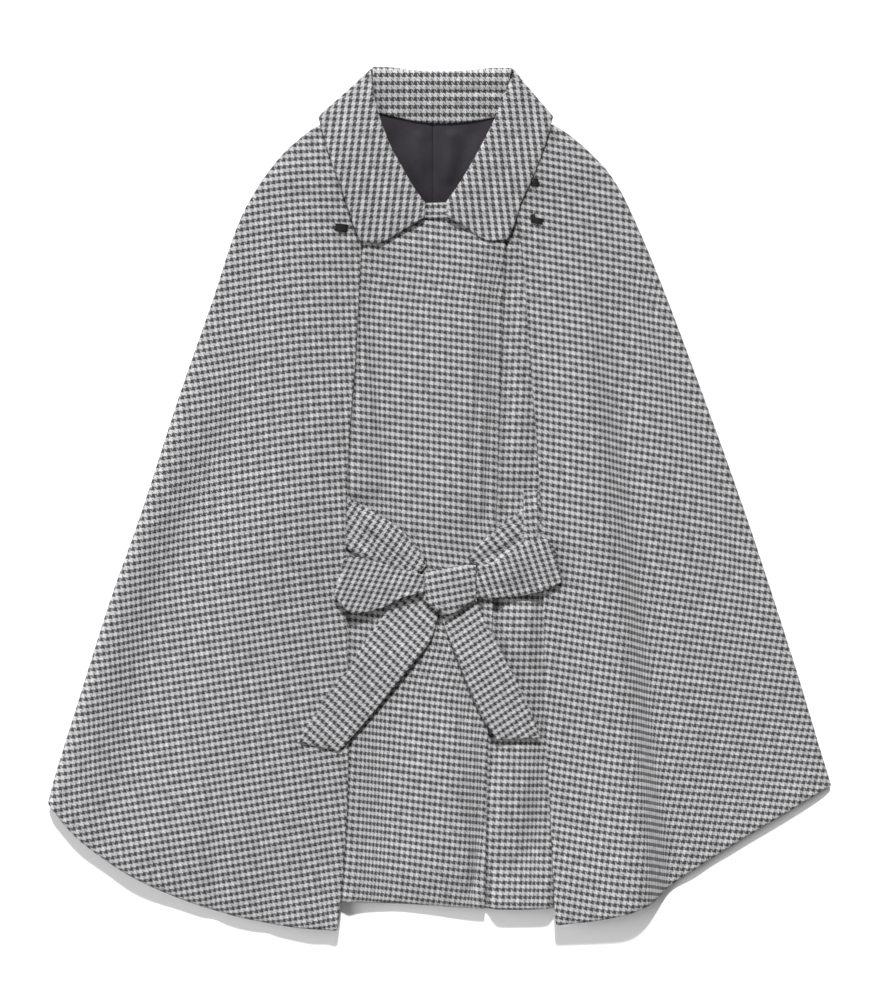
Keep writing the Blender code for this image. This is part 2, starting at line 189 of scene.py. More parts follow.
# %% [markdown]
# ## The wool
# The cloth is a houndstooth: four dark threads and four light ones, in both directions, woven over
# two and under two. A picture of it would blur close up, so the material works out every thread.
# Each piece carries a UV map called `threads` that counts whole repeats of the pattern. The nodes
# turn it into thread numbers, ask which of the two crossing threads lies on top, and take its colour.
# The same heights give the bump, and a little noise makes the yarn uneven and hairy.

# %% Node helpers
# Size of one repeat of the pattern, and the threads in it
REPEAT_ACROSS = 5.75
REPEAT_DOWN = 6.95
THREADS = 8


def number(tree, operation, a, b=None):
    """Adds one Math node and returns its output."""
    node = tree.nodes.new("ShaderNodeMath")
    node.operation = operation
    for socket, value in zip(node.inputs, (a, b)):
        if isinstance(value, (int, float)):
            socket.default_value = value
        elif value is not None:
            tree.links.new(value, socket)
    return node.outputs[0]


def speckle(tree, place, scale, detail, rough=0.5):
    """Adds a Noise texture and returns its value, which lies about 0.5."""
    node = tree.nodes.new("ShaderNodeTexNoise")
    node.inputs["Scale"].default_value = scale
    node.inputs["Detail"].default_value = detail
    node.inputs["Roughness"].default_value = rough
    tree.links.new(place, node.inputs["Vector"])
    return node.outputs["Fac"]


def thread_map(tree):
    """Adds the map that counts a piece's threads and returns it."""
    node = tree.nodes.new("ShaderNodeUVMap")
    node.uv_map = "threads"
    return node.outputs["UV"]


def tint(tree, share, first, second):
    """Adds a Mix node between two colours and returns its output."""
    node = tree.nodes.new("ShaderNodeMix")
    node.data_type = "RGBA"
    tree.links.new(share, node.inputs[0])
    for socket, colour in ((node.inputs[6], first), (node.inputs[7], second)):
        if isinstance(colour, tuple):
            socket.default_value = colour
        else:
            tree.links.new(colour, socket)
    return node.outputs[2]


print("node helpers ready")


# %% Material helpers
def new_material(name, roughness, sheen):
    """Starts a material and returns it with its node tree and its shader."""
    made = bpy.data.materials.new(name)
    made.use_nodes = True
    shader = made.node_tree.nodes["Principled BSDF"]
    shader.inputs["Roughness"].default_value = roughness
    shader.inputs["Sheen Weight"].default_value = sheen
    shader.inputs["Sheen Roughness"].default_value = 0.5
    shader.inputs["Specular IOR Level"].default_value = 0.2
    return made, made.node_tree, shader


def raise_surface(tree, shader, height, distance, strength):
    """Adds a Bump node driven by a height."""
    node = tree.nodes.new("ShaderNodeBump")
    node.inputs["Distance"].default_value = distance * MM
    node.inputs["Strength"].default_value = strength
    tree.links.new(height, node.inputs["Height"])
    tree.links.new(node.outputs["Normal"], shader.inputs["Normal"])


print("material helpers ready")

# %% Houndstooth wool
LIGHT_YARN = (0.162, 0.16, 0.162, 1.0)
PALE_YARN = (0.544, 0.538, 0.548, 1.0)
BLACK_YARN = (0.006, 0.006, 0.0068, 1.0)
DARK_YARN = (0.034, 0.0335, 0.036, 1.0)
# How far the yarn wanders, in threads, how high a thread crowns where it crosses, how much higher
# the weft lies and how softly the two sets meet
YARN_WANDER = 0.35
YARN_CROWN = 0.8
WEFT_RISE = 0.5
YARN_BLEND = 1.5
# Loose hair in the colour and in the bump, and the contrast between spots of yarn
HAIR_SHARE = 0.08
HAIR_BUMP = 0.6
SPOT_CONTRAST = 1.7


def make_wool():
    made, tree, shader = new_material("houndstooth_wool", roughness=0.95, sheen=0.04)
    spot = thread_map(tree)
    split = tree.nodes.new("ShaderNodeSeparateXYZ")
    tree.links.new(spot, split.inputs["Vector"])

    def plus(a, b):
        return number(tree, "ADD", a, b)

    def minus(a, b):
        return number(tree, "SUBTRACT", a, b)

    def times(a, b):
        return number(tree, "MULTIPLY", a, b)

    uneven = minus(speckle(tree, spot, scale=2.2, detail=2.0), 0.5)
    wander = times(uneven, YARN_WANDER * 2.0)
    warp = plus(times(split.outputs["X"], -THREADS), wander)
    weft = plus(times(split.outputs["Y"], THREADS), wander)

    def thread(own, other, sign):
        """Height and darkness of one set of threads where it crosses the other set."""
        which = number(tree, "FLOOR", own)
        beside = minus(times(number(tree, "FRACT", own), 2.0), 1.0)
        back = minus(1.0, times(beside, beside))
        phase = times(plus(which, other), math.pi / 2.0)
        crown = times(number(tree, "SINE", phase), sign * YARN_CROWN)
        dark = number(tree, "LESS_THAN", number(tree, "FLOORED_MODULO", which, THREADS), THREADS / 2)
        return plus(back, crown), dark

    warp_height, warp_dark = thread(warp, weft, 1.0)
    weft_height, weft_dark = thread(weft, warp, -1.0)
    weft_height = plus(weft_height, WEFT_RISE)
    lead = plus(times(minus(warp_height, weft_height), 0.5 / YARN_BLEND), 0.5)
    on_top = number(tree, "MINIMUM", number(tree, "MAXIMUM", lead, 0.0), 1.0)
    dark = plus(weft_dark, times(on_top, minus(warp_dark, weft_dark)))
    hair = speckle(tree, spot, scale=26.0, detail=3.0)
    share = plus(times(dark, 1.0 - HAIR_SHARE), times(hair, HAIR_SHARE))
    spots = minus(speckle(tree, spot, scale=0.75, detail=4.0, rough=0.75), 0.5)
    spots = plus(times(spots, SPOT_CONTRAST), 0.5)
    pale = tint(tree, spots, LIGHT_YARN, PALE_YARN)
    deep = tint(tree, spots, BLACK_YARN, DARK_YARN)
    tree.links.new(tint(tree, share, pale, deep), shader.inputs["Base Color"])
    height = plus(number(tree, "MAXIMUM", warp_height, weft_height), times(hair, HAIR_BUMP))
    raise_surface(tree, shader, height, distance=0.22, strength=0.5)
    return made


WOOL = make_wool()
print("wool has", len(WOOL.node_tree.nodes), "nodes")

# %% [markdown]
# ## The lining and the black thread
# The lining is a dark purple-grey satin. It is smooth, so it only needs a fine cross weave, slow
# changes of tone and a softer shine than the wool. The tacks are plain black sewing thread.

# %% Satin and thread
SATIN_DARK = (0.003, 0.0025, 0.0037, 1.0)
SATIN_LIGHT = (0.0268, 0.0215, 0.0312, 1.0)
THREAD_BLACK = (0.002, 0.002, 0.0025, 1.0)
THREAD_GREY = (0.009, 0.009, 0.01, 1.0)


def make_satin():
    made, tree, shader = new_material("satin_lining", roughness=0.68, sheen=0.04)
    spot = thread_map(tree)
    cloud = speckle(tree, spot, scale=0.22, detail=3.0)
    tree.links.new(tint(tree, cloud, SATIN_DARK, SATIN_LIGHT), shader.inputs["Base Color"])
    ribs = tree.nodes.new("ShaderNodeTexWave")
    ribs.inputs["Scale"].default_value = 7.0
    ribs.inputs["Distortion"].default_value = 0.4
    tree.links.new(spot, ribs.inputs["Vector"])
    raise_surface(tree, shader, ribs.outputs["Fac"], distance=0.05, strength=0.25)
    return made


def make_thread():
    made, tree, shader = new_material("black_thread", roughness=0.8, sheen=0.03)
    spot = tree.nodes.new("ShaderNodeTexCoord")
    fuzz = speckle(tree, spot.outputs["Object"], scale=900.0, detail=2.0)
    tree.links.new(tint(tree, fuzz, THREAD_BLACK, THREAD_GREY), shader.inputs["Base Color"])
    raise_surface(tree, shader, fuzz, distance=0.2, strength=0.4)
    return made


SATIN = make_satin()
BLACK_THREAD = make_thread()
print("satin and black thread ready")

# %% [markdown]
# ## Laying cloth
# Every piece starts as a flat grid. One function says where each of its points lies on the garment,
# and another says which thread of the cloth is there. Solidify gives the sheet its thickness and one
# level of subdivision rounds its cut edges, as a pressed and turned edge is round.
#
# Folds come from tables, one row for each: the line that the fold follows, its half width, its depth
# and the cloth that it takes up. The cloth taken up squeezes the threads together in the picture.

# %% Cloth maker
# Thickness of each kind of cloth
CLOTH = 2.0
LINING = 1.0
BELT = 2.0
CARRIER_CLOTH = 1.2
# Room at a seam and between loose layers
SEAM_GAP = 0.3
LAYER_GAP = 0.6
# Points of a ring that lie this close become one
MERGE_WITHIN = 0.01
pieces = {}


def lay_cloth(node, columns, rows, place, weave, thick=CLOTH, side=1.0, ring=False):
    """Lays a grid with place(u, v) and threads it with weave(u, v, x, down); stands for a solid."""
    bm = bmesh.new()
    bmesh.ops.create_grid(bm, x_segments=columns, y_segments=rows, size=0.5)
    threads = bm.loops.layers.uv.new("threads")
    for vert in bm.verts:
        u, v = vert.co.x + 0.5, 0.5 - vert.co.y
        x, down, z = place(u, v)
        across, lengthways = weave(u, v, x, down)
        for corner in vert.link_loops:
            corner[threads].uv = (across / REPEAT_ACROSS, lengthways / REPEAT_DOWN)
        vert.co = at(x, down, z)
    if ring:
        bmesh.ops.remove_doubles(bm, verts=bm.verts, dist=MERGE_WITHIN * MM)
    slot = "lining" if "lining" in node else "wool"
    piece = add_mesh(node + "_cloth", bm, SATIN if slot == "lining" else WOOL)
    wall = piece.modifiers.new("wall", "SOLIDIFY")
    wall.thickness = thick * MM
    wall.offset = side
    wall.use_even_offset = True
    edges = piece.modifiers.new("round edges", "SUBSURF")
    edges.levels = edges.render_levels = 1
    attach(piece, "root")
    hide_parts(node)
    pieces[node] = piece


print("cloth maker ready for walls of", LINING, "to", CLOTH, "mm")


# %% Cut and thread helpers
def cut_place(sides, neck, hem, u, v):
    """A point of a cut panel from its two sides, its neck edge and its hem."""
    left_x, left_down, right_x, right_down = along(sides, v)
    x, down = mix(left_x, right_x, u), mix(left_down, right_down, u)
    for edge, row, weight in ((neck, sides[0], (1.0 - v)**3), (hem, sides[-1], v**3)):
        edge_x, edge_down = along(edge, u)
        x += weight * (edge_x - mix(row[0], row[2], u))
        down += weight * (edge_down - mix(row[1], row[3], u))
    return x, down


def slanted(row_pitch, row_lean, column_pitch, column_lean):
    """Threads that cross a piece at one lean, in degrees from +x toward down, with given pitches."""
    row, column = math.radians(row_lean), math.radians(column_lean)

    def threads(u, v, x, down):
        across = (x * math.cos(column) + down * math.sin(column)) * REPEAT_ACROSS / column_pitch
        return across, (x * math.cos(row) + down * math.sin(row)) * REPEAT_DOWN / row_pitch
    return threads


def straight_ends(sides):
    """Neck edge and hem of a panel whose ends are straight."""
    return [sides[0][:2], sides[0][2:]], [sides[-1][:2], sides[-1][2:]]


print("cut and thread helpers ready")

# %% Folds
# Part of its length over which a fold, or a crease, fades out at each end
END_PART = 0.18
CREASE_END = 0.2
# Height and size of the slow ripples
RIPPLE = 0.35
RIPPLE_SIZE = 75.0


def fold_share(path, half, x, down):
    """How far x is from a fold's line, in half widths, and how much of the fold is there."""
    t = (down - path[0][0]) / (path[-1][0] - path[0][0])
    here = ease(0.0, END_PART, t) * ease(1.0, 1.0 - END_PART, t)
    return (x - read(path, down)) / half, here, min(1.0, max(0.0, t))


def fold_depth(folds, x, down):
    """Height that the folds add at a place; a trough is negative."""
    total = 0.0
    for path, half, depth_top, depth_foot, taken_top, taken_foot in folds:
        off, here, t = fold_share(path, half, x, down)
        total += mix(depth_top, depth_foot, t) * here * math.exp(-off * off)
    return total


def fold_taken(folds, x, down, outward=1.0):
    """Length of cloth that the folds take up between the middle of the coat and a place."""
    total = 0.0
    for path, half, depth_top, depth_foot, taken_top, taken_foot in folds:
        off, here, t = fold_share(path, half, x, down)
        total += mix(taken_top, taken_foot, t) * here * ease(-1.0, 1.0, outward * off)
    return total


def ends(t):
    """Is 1 along a crease and fades out round both of its ends."""
    return ease(-CREASE_END, CREASE_END, t) * ease(1.0 + CREASE_END, 1.0 - CREASE_END, t)


def crease_depth(creases, x, down):
    """Height that short straight creases add, each from one point to another."""
    total = 0.0
    for start_x, start_down, end_x, end_down, half, depth in creases:
        start = Vector((start_x, start_down))
        run = Vector((end_x, end_down)) - start
        spot = Vector((x, down)) - start
        t = spot.dot(run) / run.length_squared
        off = (spot - run * min(1.0, max(0.0, t))).length / half
        total += depth * math.exp(-off * off) * ends(t)
    return total


def ripple(x, down):
    """Slow unevenness of cloth that was laid by hand."""
    return RIPPLE * noise.noise(Vector((x / RIPPLE_SIZE, down / RIPPLE_SIZE, 0.0)))


print("fold helpers ready")

# %% [markdown]
# ## Heights of the layers
# The back lies on the floor, the lining and the two coat fronts lie on it, and the cape fronts lie
# over them. Each layer rises where something lies under it. These are the same few heights that the
# solids have, so the finer shells stay where their solids are.

# %% Layer heights
COLLAR_LIFT = 2.8
# What lies under a layer, columns: lift, middle, half width, foot, run of the slope round it
COLLAR_BELOW = (COLLAR_LIFT, -4.0, 122.0, 88.0, 50.0)
LINING_BELOW = (1.6, 0.0, 66.0, 178.0, 44.0)
# How much the overlap rises, and where across it climbs
OVERLAP_LIFT = 2.8
OVERLAP_CLIMB = (-50.0, 14.0)


def lift_over(patch, x, down):
    """How much a layer rises over something that lies under it."""
    lift, middle, half, foot, run = patch
    outside = max(abs(x - middle) - half, down - foot)
    return lift * (1.0 - ease(0.0, run, outside))


def under_z(x, down):
    return CLOTH + LAYER_GAP + lift_over(COLLAR_BELOW, x, down) + lift_over(LINING_BELOW, x, down)


def overlap_lift(x):
    """The overlapping front climbs onto the other one near the centre."""
    return OVERLAP_LIFT * ease(*OVERLAP_CLIMB, x)


def over_z(x, down):
    return under_z(x, down) + overlap_lift(x)


print("coat front lies at", round(over_z(-60, 400), 1), "mm,",
      "its overlap at", round(over_z(20, 400), 1), "mm")

# %% [markdown]
# ## The cape
# Each half of the cape is one wide panel. It folds over from the back along its side, lies over the
# coat toward its front edge, and ends in a curved hem. The flare leaves more cloth at the hem than
# the outline needs: on the right it falls into one long fold, on the left into a broad trough along
# the side. The hem lifts unevenly, which the width of its shadow shows.

# %% Cape sizes
# columns: side_x, side_down, front_x, front_down
CAPE_LEFT = [
    (-76, 47, -74, 86), (-99, 53, -74, 110), (-124, 61, -75, 140), (-158, 88, -78, 172),
    (-188, 129, -80, 210), (-206, 167, -82, 250), (-228, 234, -85, 305), (-262, 332, -91, 380),
    (-298, 444, -94, 470), (-330, 534, -93, 560), (-360, 629, -91, 660), (-384, 706, -94, 770),
    (-392, 738, -102, 865)]
CAPE_RIGHT = [
    (74, 47, 71, 86), (95, 54, 72, 110), (118, 62, 75, 140), (148, 84, 80, 172),
    (176, 116, 85, 210), (198, 160, 87, 250), (226, 228, 91, 305), (264, 330, 97, 380),
    (302, 436, 102, 470), (332, 526, 104, 560), (360, 614, 106, 660), (384, 694, 111, 770),
    (392, 720, 115, 859)]
# columns: x, down
NECK_LEFT = [(-76, 47), (-75, 66), (-74, 86)]
NECK_RIGHT = [(74, 47), (73, 66), (71, 86)]
HEM_LEFT = [(-392, 738), (-366, 769), (-332, 796), (-292, 819), (-246, 838), (-198, 852),
            (-150, 861), (-102, 865)]
HEM_RIGHT = [(392, 720), (352, 744), (312, 768), (272, 793), (234, 818), (206, 840),
             (166, 852), (115, 859)]
BACK_NECK = [(-76, 47), (-50, 52), (-20, 56), (0, 57), (20, 56), (50, 52), (74, 47)]
BACK_HEM = [(-392, 738), (-318, 800), (-220, 832), (-110, 830), (0, 828), (110, 829),
            (215, 822), (315, 760), (392, 720)]
print("cape is", CAPE_RIGHT[-1][0] - CAPE_LEFT[-1][0], "mm wide at the corners of its hem")

# %% Cape heights
# How high each half lies off the back at its front
# columns: down, left_rise, right_rise
CAPE_RISE = [(40, 4.6, 4.6), (180, 4.8, 4.8), (320, 4.8, 4.8), (420, 5.6, 5.6), (468, 5.9, 5.9),
             (508, 4.8, 4.8), (560, 3.9, 4.2), (680, 3.8, 4.4), (780, 4.6, 5.2), (866, 5.4, 5.4)]
# It climbs over this part of its width, and eases up a little more where the collar lifts it
RISE_PART = 0.62
SHOULDER_EASE = 1.1
# How much the hem stands off its plain height, columns: x, lift
HEM_LIFT_LEFT = [(-392, 4.4), (-380, 3.4), (-350, 4.8), (-310, 7.2), (-260, 1.0), (-210, 0.5),
                 (-160, 1.1), (-120, 3.8), (-102, 3.8)]
HEM_LIFT_RIGHT = [(115, 7.2), (160, 9.3), (190, 8.4), (210, 4.4), (230, -0.6), (260, -0.2),
                  (300, 0.6), (340, 2.6), (370, 2.8), (392, 1.4)]
# The hem's lift starts at this part of the length
HEM_LIFT_FROM = 0.84
# The left half stands up along its side, dips along a line and swells again toward the coat
SIDE_LOFT = 4.4
SIDE_LOFT_RUN = 10.0
SIDE_LOFT_TOP = (230.0, 420.0)
# columns: down, x
TROUGH_LINE = [(250, -168), (334, -196), (454, -250), (544, -278), (624, -298), (694, -310),
               (780, -322)]
TROUGH_WALL = 42.0
RISE_LATE = 0.18
RISE_LATE_TOP = (300.0, 450.0)
DOME = 4.2
DOME_RUN = 90.0
DOME_FRONT_RUN = 70.0
DOME_TOP = (330.0, 480.0)
DOME_FOOT = (860.0, 760.0)
# Its front edge settles onto the coat
# columns: down, drop of the edge
EDGE_SETTLE = [(100, 1.6), (210, 1.8), (250, 0.3), (350, 0.3), (400, 1.8), (440, 1.2), (470, 0.4),
               (520, 0.9), (560, 0.9), (592, 0.0), (690, 0.0), (740, 1.3), (820, 1.3), (866, 0.0)]
SETTLE_RUN = 26.0
# Its side edge turns down
SIDE_TURN = 7.0
SIDE_DROP = 1.5
print("hem lifts up to", max(lift for x, lift in HEM_LIFT_LEFT + HEM_LIFT_RIGHT), "mm")

# %% Cape folds
# columns: path of (down, x), half width, depth at top, depth at foot, cloth taken at top, at foot
FOLDS_LEFT = [
    ([(250, -182), (380, -232), (454, -268), (544, -300), (624, -322), (690, -345), (780, -362)],
     26, 0.0, 0.0, 8, 9),
    ([(700, -222), (900, -227)], 9, -1.6, -2.0, 1, 3),
    ([(725, -177), (900, -173)], 8, -1.2, -1.6, 1, 2),
    ([(745, -119), (900, -114)], 7, -1.2, -1.6, 1, 3)]
FOLDS_RIGHT = [
    ([(190, 180), (304, 222), (379, 250), (454, 280), (560, 318)], 15, -1.8, -1.4, 6, 4),
    ([(640, 262), (900, 276)], 16, -1.0, -1.4, 1, 2)]
# The long fold, columns: down, x
FOLD_LINE = [(200, 146), (274, 160), (384, 172), (534, 192), (684, 205), (784, 215), (860, 218)]
# Its height and width, the hollow's share of that height, the half width of the band where it takes
# up cloth, and where down the cape it starts
FOLD_HEIGHT = 4.6
FOLD_WIDTH = 20.0
FOLD_HOLLOW = 0.75
FOLD_BAND = 13.0
FOLD_TOP = (180.0, 350.0)
# The ridge's crest and the hollow, in widths from the line, and how much wider the inner slope is
RIDGE_AT = -0.9
HOLLOW_AT = 0.5
RIDGE_SPREAD = 1.7
# The fold ends before the panel's side and front, in parts of its width
FOLD_FROM_SIDE = 0.3
FOLD_FROM_FRONT = 0.2
# Cloth that the fold takes up for each millimetre down: from its top, and more toward the hem
FOLD_TAKES = 0.05
FOLD_TAKES_FROM = 204.0
HEM_TAKES = 0.06
HEM_TAKES_FROM = (580.0, 760.0)
print(len(FOLDS_LEFT), "folds on the left,", len(FOLDS_RIGHT) + 1, "on the right")


# %% Cape forms
def cape_z(x, down, u, column):
    """A cape half leaves the back at its side (u = 0) and lies over the coat at its front."""
    rise = read(CAPE_RISE, down, column) * ease(0.0, RISE_PART, u)
    lift = lift_over(COLLAR_BELOW, x, down)
    return CLOTH + SEAM_GAP + lift + SHOULDER_EASE * math.sin(math.pi * lift / COLLAR_LIFT) + rise


def long_fold_z(x, down, u):
    """A ridge with a hollow on its outer side."""
    off = (x - read(FOLD_LINE, down)) / FOLD_WIDTH
    lead = (off - RIDGE_AT) / (RIDGE_SPREAD if off < RIDGE_AT else 1.0)
    wave = math.exp(-lead**2) - FOLD_HOLLOW * math.exp(-(off - HOLLOW_AT)**2)
    inside = ease(0.0, FOLD_FROM_SIDE, u) * ease(1.0, 1.0 - FOLD_FROM_FRONT, u)
    return FOLD_HEIGHT * wave * ease(*FOLD_TOP, down) * inside


def side_trough_z(x, down, from_side, from_front):
    """The raised side, the trough beside it and the broad swell of the left half."""
    past = x - read(TROUGH_LINE, down)
    loft = SIDE_LOFT * ease(0.0, SIDE_LOFT_RUN, from_side) * ease(0.0, -TROUGH_WALL, past)
    dome = DOME * ease(0.0, DOME_RUN, past) * ease(0.0, DOME_FRONT_RUN, from_front)
    dome *= ease(*DOME_FOOT, down)
    return loft * ease(*SIDE_LOFT_TOP, down) + dome * ease(*DOME_TOP, down)


def long_fold_taken(x, down):
    """The fold takes up more cloth toward the hem, where the cape is widest."""
    deep = FOLD_TAKES * max(0.0, down - FOLD_TAKES_FROM) + HEM_TAKES * bend(*HEM_TAKES_FROM, down)
    return deep * ease(-FOLD_BAND, FOLD_BAND, x - read(FOLD_LINE, down))


print("long fold takes up", round(long_fold_taken(392, 860)), "mm of cloth at the hem")

# %% [markdown]
# ### Threads of the cape
# The threads lean as the cape spreads. Near the front edges the rows are nearly level, and further
# out they fall toward the side. The two functions below count cloth outward from the front edge and
# down from the neck, so that the rows and columns lean and close up as they do on the coat.

# %% Cape threads
# Where the count starts, in x
LEFT_COUNT_X = -90.0
RIGHT_COUNT_X = 100.0
# Lean of the columns: from the top, then rows of lean added, down where it starts and where it is full
LEFT_LEAN = (0.05, [(0.07, 470, 560), (-0.05, 800, 900)])
RIGHT_LEAN = (-0.03, [(0.05, 264, 420), (0.08, 440, 540)])
# Fall of the rows for each millimetre outward
ROW_FALL = 0.165
# On the left the rows fall less near the front edge: how much, over which part of the length and width
EDGE_FALL = 0.11
EDGE_FALL_TOP = (120.0, 560.0)
EDGE_FALL_OUT = (20.0, 110.0)
# On the right they turn up again low down, near the side
SIDE_TURN_UP = 0.09
SIDE_TURN_UP_TOP = (470.0, 790.0)
SIDE_TURN_UP_OUT = (60.0, 120.0)


def leaning(lean, down):
    """Sideways shift of the columns at a place, from their leans above it."""
    plain, added = lean
    return plain * down + sum(more * bend(start, full, down) for more, start, full in added)


def left_cape_threads(u, v, x, down):
    out = LEFT_COUNT_X - x + leaning(LEFT_LEAN, down) + fold_taken(FOLDS_LEFT, x, down, -1.0)
    turned = bend(*EDGE_FALL_OUT, out)
    near_edge = EDGE_FALL * ease(*EDGE_FALL_TOP, down) * (out - turned)
    return -out, down - ROW_FALL * turned - near_edge


def right_cape_threads(u, v, x, down):
    out = x - RIGHT_COUNT_X + leaning(RIGHT_LEAN, down)
    out += long_fold_taken(x, down) + fold_taken(FOLDS_RIGHT, x, down)
    turn_up = SIDE_TURN_UP * ease(*SIDE_TURN_UP_TOP, down) * bend(*SIDE_TURN_UP_OUT, out)
    return out, down - ROW_FALL * out + turn_up


print("threads of the cape set")

# %% [markdown]
# ### Keeping the layers apart
# Real layers cannot run through each other. A piece that is laid later feels for the ones that are
# already there with a ray, as a hand would, and lies on them or stays under them with a hair of room.

# %% Feel for a layer
# Room between layers that touch
LAYER_TOUCH = 0.15
DOWNWARD = -1.0
UPWARD = 1.0
RAY_START = 100.0
NO_CLOTH = 1000.0
FRONTS = ["cape_front_left", "cape_front_right", "coat_front_over", "coat_front_under"]


def laid(nodes, look):
    """Gives a function for the first height met on pieces already laid, looking down or up."""
    shapes = bpy.context.evaluated_depsgraph_get()
    trees = [BVHTree.FromObject(pieces[node], shapes) for node in nodes]
    way = Vector((0.0, 0.0, look))

    def height(x, down):
        hits = [tree.ray_cast(at(x, down, -look * RAY_START), way)[0] for tree in trees]
        return max((-look * hit.z / MM for hit in hits if hit), default=-NO_CLOTH) * -look
    return height


print("layers keep", LAYER_TOUCH, "mm apart")

# %% Make the cape
# The back ends this far inside the sides of the cape fronts
BACK_INSET = 2.5


def make_cape_back():
    sides = [(left[0] + BACK_INSET, left[1], right[0] - BACK_INSET, right[1])
             for left, right in zip(CAPE_LEFT, CAPE_RIGHT)]

    def place(u, v):
        x, down = cut_place(sides, BACK_NECK, BACK_HEM, u, v)
        return x, down, lift_over(COLLAR_BELOW, x, down)
    lay_cloth("cape_back", 48, 60, place, lambda u, v, x, down: (x, down))


def cape_extras(x, down, u, v, width, lifts):
    """The turned side edge and the uneven hem of a cape half."""
    side = SIDE_DROP * (1.0 - ease(0.0, SIDE_TURN, u * width))
    return read(lifts, x) * ease(HEM_LIFT_FROM, 1.0, v) - side + ripple(x, down)


def make_cape_left():
    back = laid(["cape_back"], DOWNWARD)

    def place(u, v):
        x, down = cut_place(CAPE_LEFT, NECK_LEFT, HEM_LEFT, u, v)
        width = along(CAPE_LEFT, v)[2] - along(CAPE_LEFT, v)[0]
        late = RISE_LATE * ease(*RISE_LATE_TOP, down)
        risen = max(0.0, u - late) / (1.0 - late / RISE_PART)
        z = cape_z(x, down, risen, 1) + fold_depth(FOLDS_LEFT, x, down)
        z += side_trough_z(x, down, u * width, (1.0 - u) * width)
        z -= read(EDGE_SETTLE, down) * ease(SETTLE_RUN, 0.0, (1.0 - u) * width)
        z += cape_extras(x, down, u, v, width, HEM_LIFT_LEFT)
        return x, down, max(z, back(x, down) + LAYER_TOUCH)
    lay_cloth("cape_front_left", 76, 108, place, left_cape_threads)


def make_cape_right():
    sides = [(front_x, front_d, side_x, side_d) for side_x, side_d, front_x, front_d in CAPE_RIGHT]
    back = laid(["cape_back"], DOWNWARD)

    def place(u, v):
        x, down = cut_place(sides, NECK_RIGHT[::-1], HEM_RIGHT[::-1], u, v)
        width = along(sides, v)[2] - along(sides, v)[0]
        inward = 1.0 - u
        z = cape_z(x, down, inward, 2) + long_fold_z(x, down, inward)
        z += fold_depth(FOLDS_RIGHT, x, down) + cape_extras(x, down, inward, v, width, HEM_LIFT_RIGHT)
        return x, down, max(z, back(x, down) + LAYER_TOUCH)
    lay_cloth("cape_front_right", 76, 108, place, right_cape_threads)


make_cape_back()
make_cape_left()
make_cape_right()
print("cape made of", len(pieces), "panels")

# %% [markdown]
# ## The coat fronts
# Between the cape fronts the two coat fronts show. The left one laps over the right one, and its
# edge runs down the coat just right of the middle. The cloth is pulled in by the belt, so soft
# upright troughs run above and below the bow.

# %% Coat front sizes
# columns: left_x, left_down, right_x, right_down
FRONT_OVER = [
    (-98, 92, 66, 160), (-118, 170, 64, 215), (-146, 270, 61, 300), (-158, 370, 58, 395),
    (-166, 470, 55, 490), (-174, 580, 51, 600), (-182, 700, 47, 715), (-188, 830, 45, 843)]
OVER_NECK = [(-98, 92), (-64, 108), (-38, 132), (-16, 147), (4, 149), (24, 152), (44, 156),
             (66, 160)]
OVER_HEM = [(-188, 830), (-99, 836), (-40, 838), (10, 841), (45, 843)]
FRONT_UNDER = [
    (24, 176, 100, 96), (24, 230, 126, 180), (23, 300, 150, 280), (22, 395, 160, 380),
    (22, 490, 166, 480), (21, 600, 172, 590), (21, 715, 180, 705), (20, 841, 186, 832)]
UNDER_NECK = [(24, 176), (48, 158), (74, 124), (100, 96)]
UNDER_HEM = [(20, 841), (47, 843), (112, 842), (186, 832)]
CAPE_EDGE = [(row[3], row[2]) for row in CAPE_LEFT]
print("coat fronts overlap by", FRONT_OVER[4][2] - FRONT_UNDER[4][0], "mm at the belt")

# %% Coat front folds
# columns: path of (down, x), half width, depth at top, depth at foot, cloth taken at top, at foot
FOLDS_OVER = [
    ([(190, -86), (234, -80), (324, -70), (449, -55), (520, -48)], 14, -2.0, -2.0, 4, 5),
    ([(170, 44), (290, 41), (400, 33), (500, 31)], 5.0, -1.8, -3.2, 2, 3),
    ([(180, 54), (300, 51), (400, 46), (500, 41)], 5.0, -2.0, -3.2, 4, 5),
    ([(560, -74), (664, -68), (739, -66), (960, -68)], 18, -1.4, -1.6, 12, 14),
    ([(560, 40), (664, 30), (739, 28), (960, 24)], 16, -0.8, -1.0, 5, 6),
    ([(600, 20), (680, 24), (760, 32), (850, 34)], 5, -1.6, -1.8, 3, 4),
    ([(640, 36), (700, 37), (770, 40), (860, 24)], 5, -1.4, -2.0, 4, 4)]
FOLDS_UNDER = [
    ([(520, 99), (680, 101)], 7, -1.6, -1.6, 3, 3),
    ([(640, 92), (720, 92), (960, 94)], 11, -1.4, -2.0, 6, 8)]
# Folds sink in only where the cloth stands up by this much
LOOSE = (0.2, 2.2)
print(len(FOLDS_OVER), "folds in the overlapping front,", len(FOLDS_UNDER), "in the other")

# %% Coat front heights
# The hems lift over the last tenth of the length; the strip's lifts between these places of x
FRONT_HEM_FROM = 0.9
STRIP_LIFT = 10.5
STRIP_LIFT_LEFT = (46.0, 58.0)
STRIP_LIFT_RIGHT = (118.0, 108.0)
# columns: x, lift of the hem
OVER_HEM_LIFT = [(-100, 4.2), (-78, 4.1), (-40, 2.3), (0, 1.7), (30, 3.4), (45, 3.6)]
# The overlap's edge gapes under the knot: how high, from which part of the width, where and how far
EDGE_GAPE = 3.0
GAPE_FROM = 0.9
GAPE_DOWN = 556.0
GAPE_HALF = 40.0
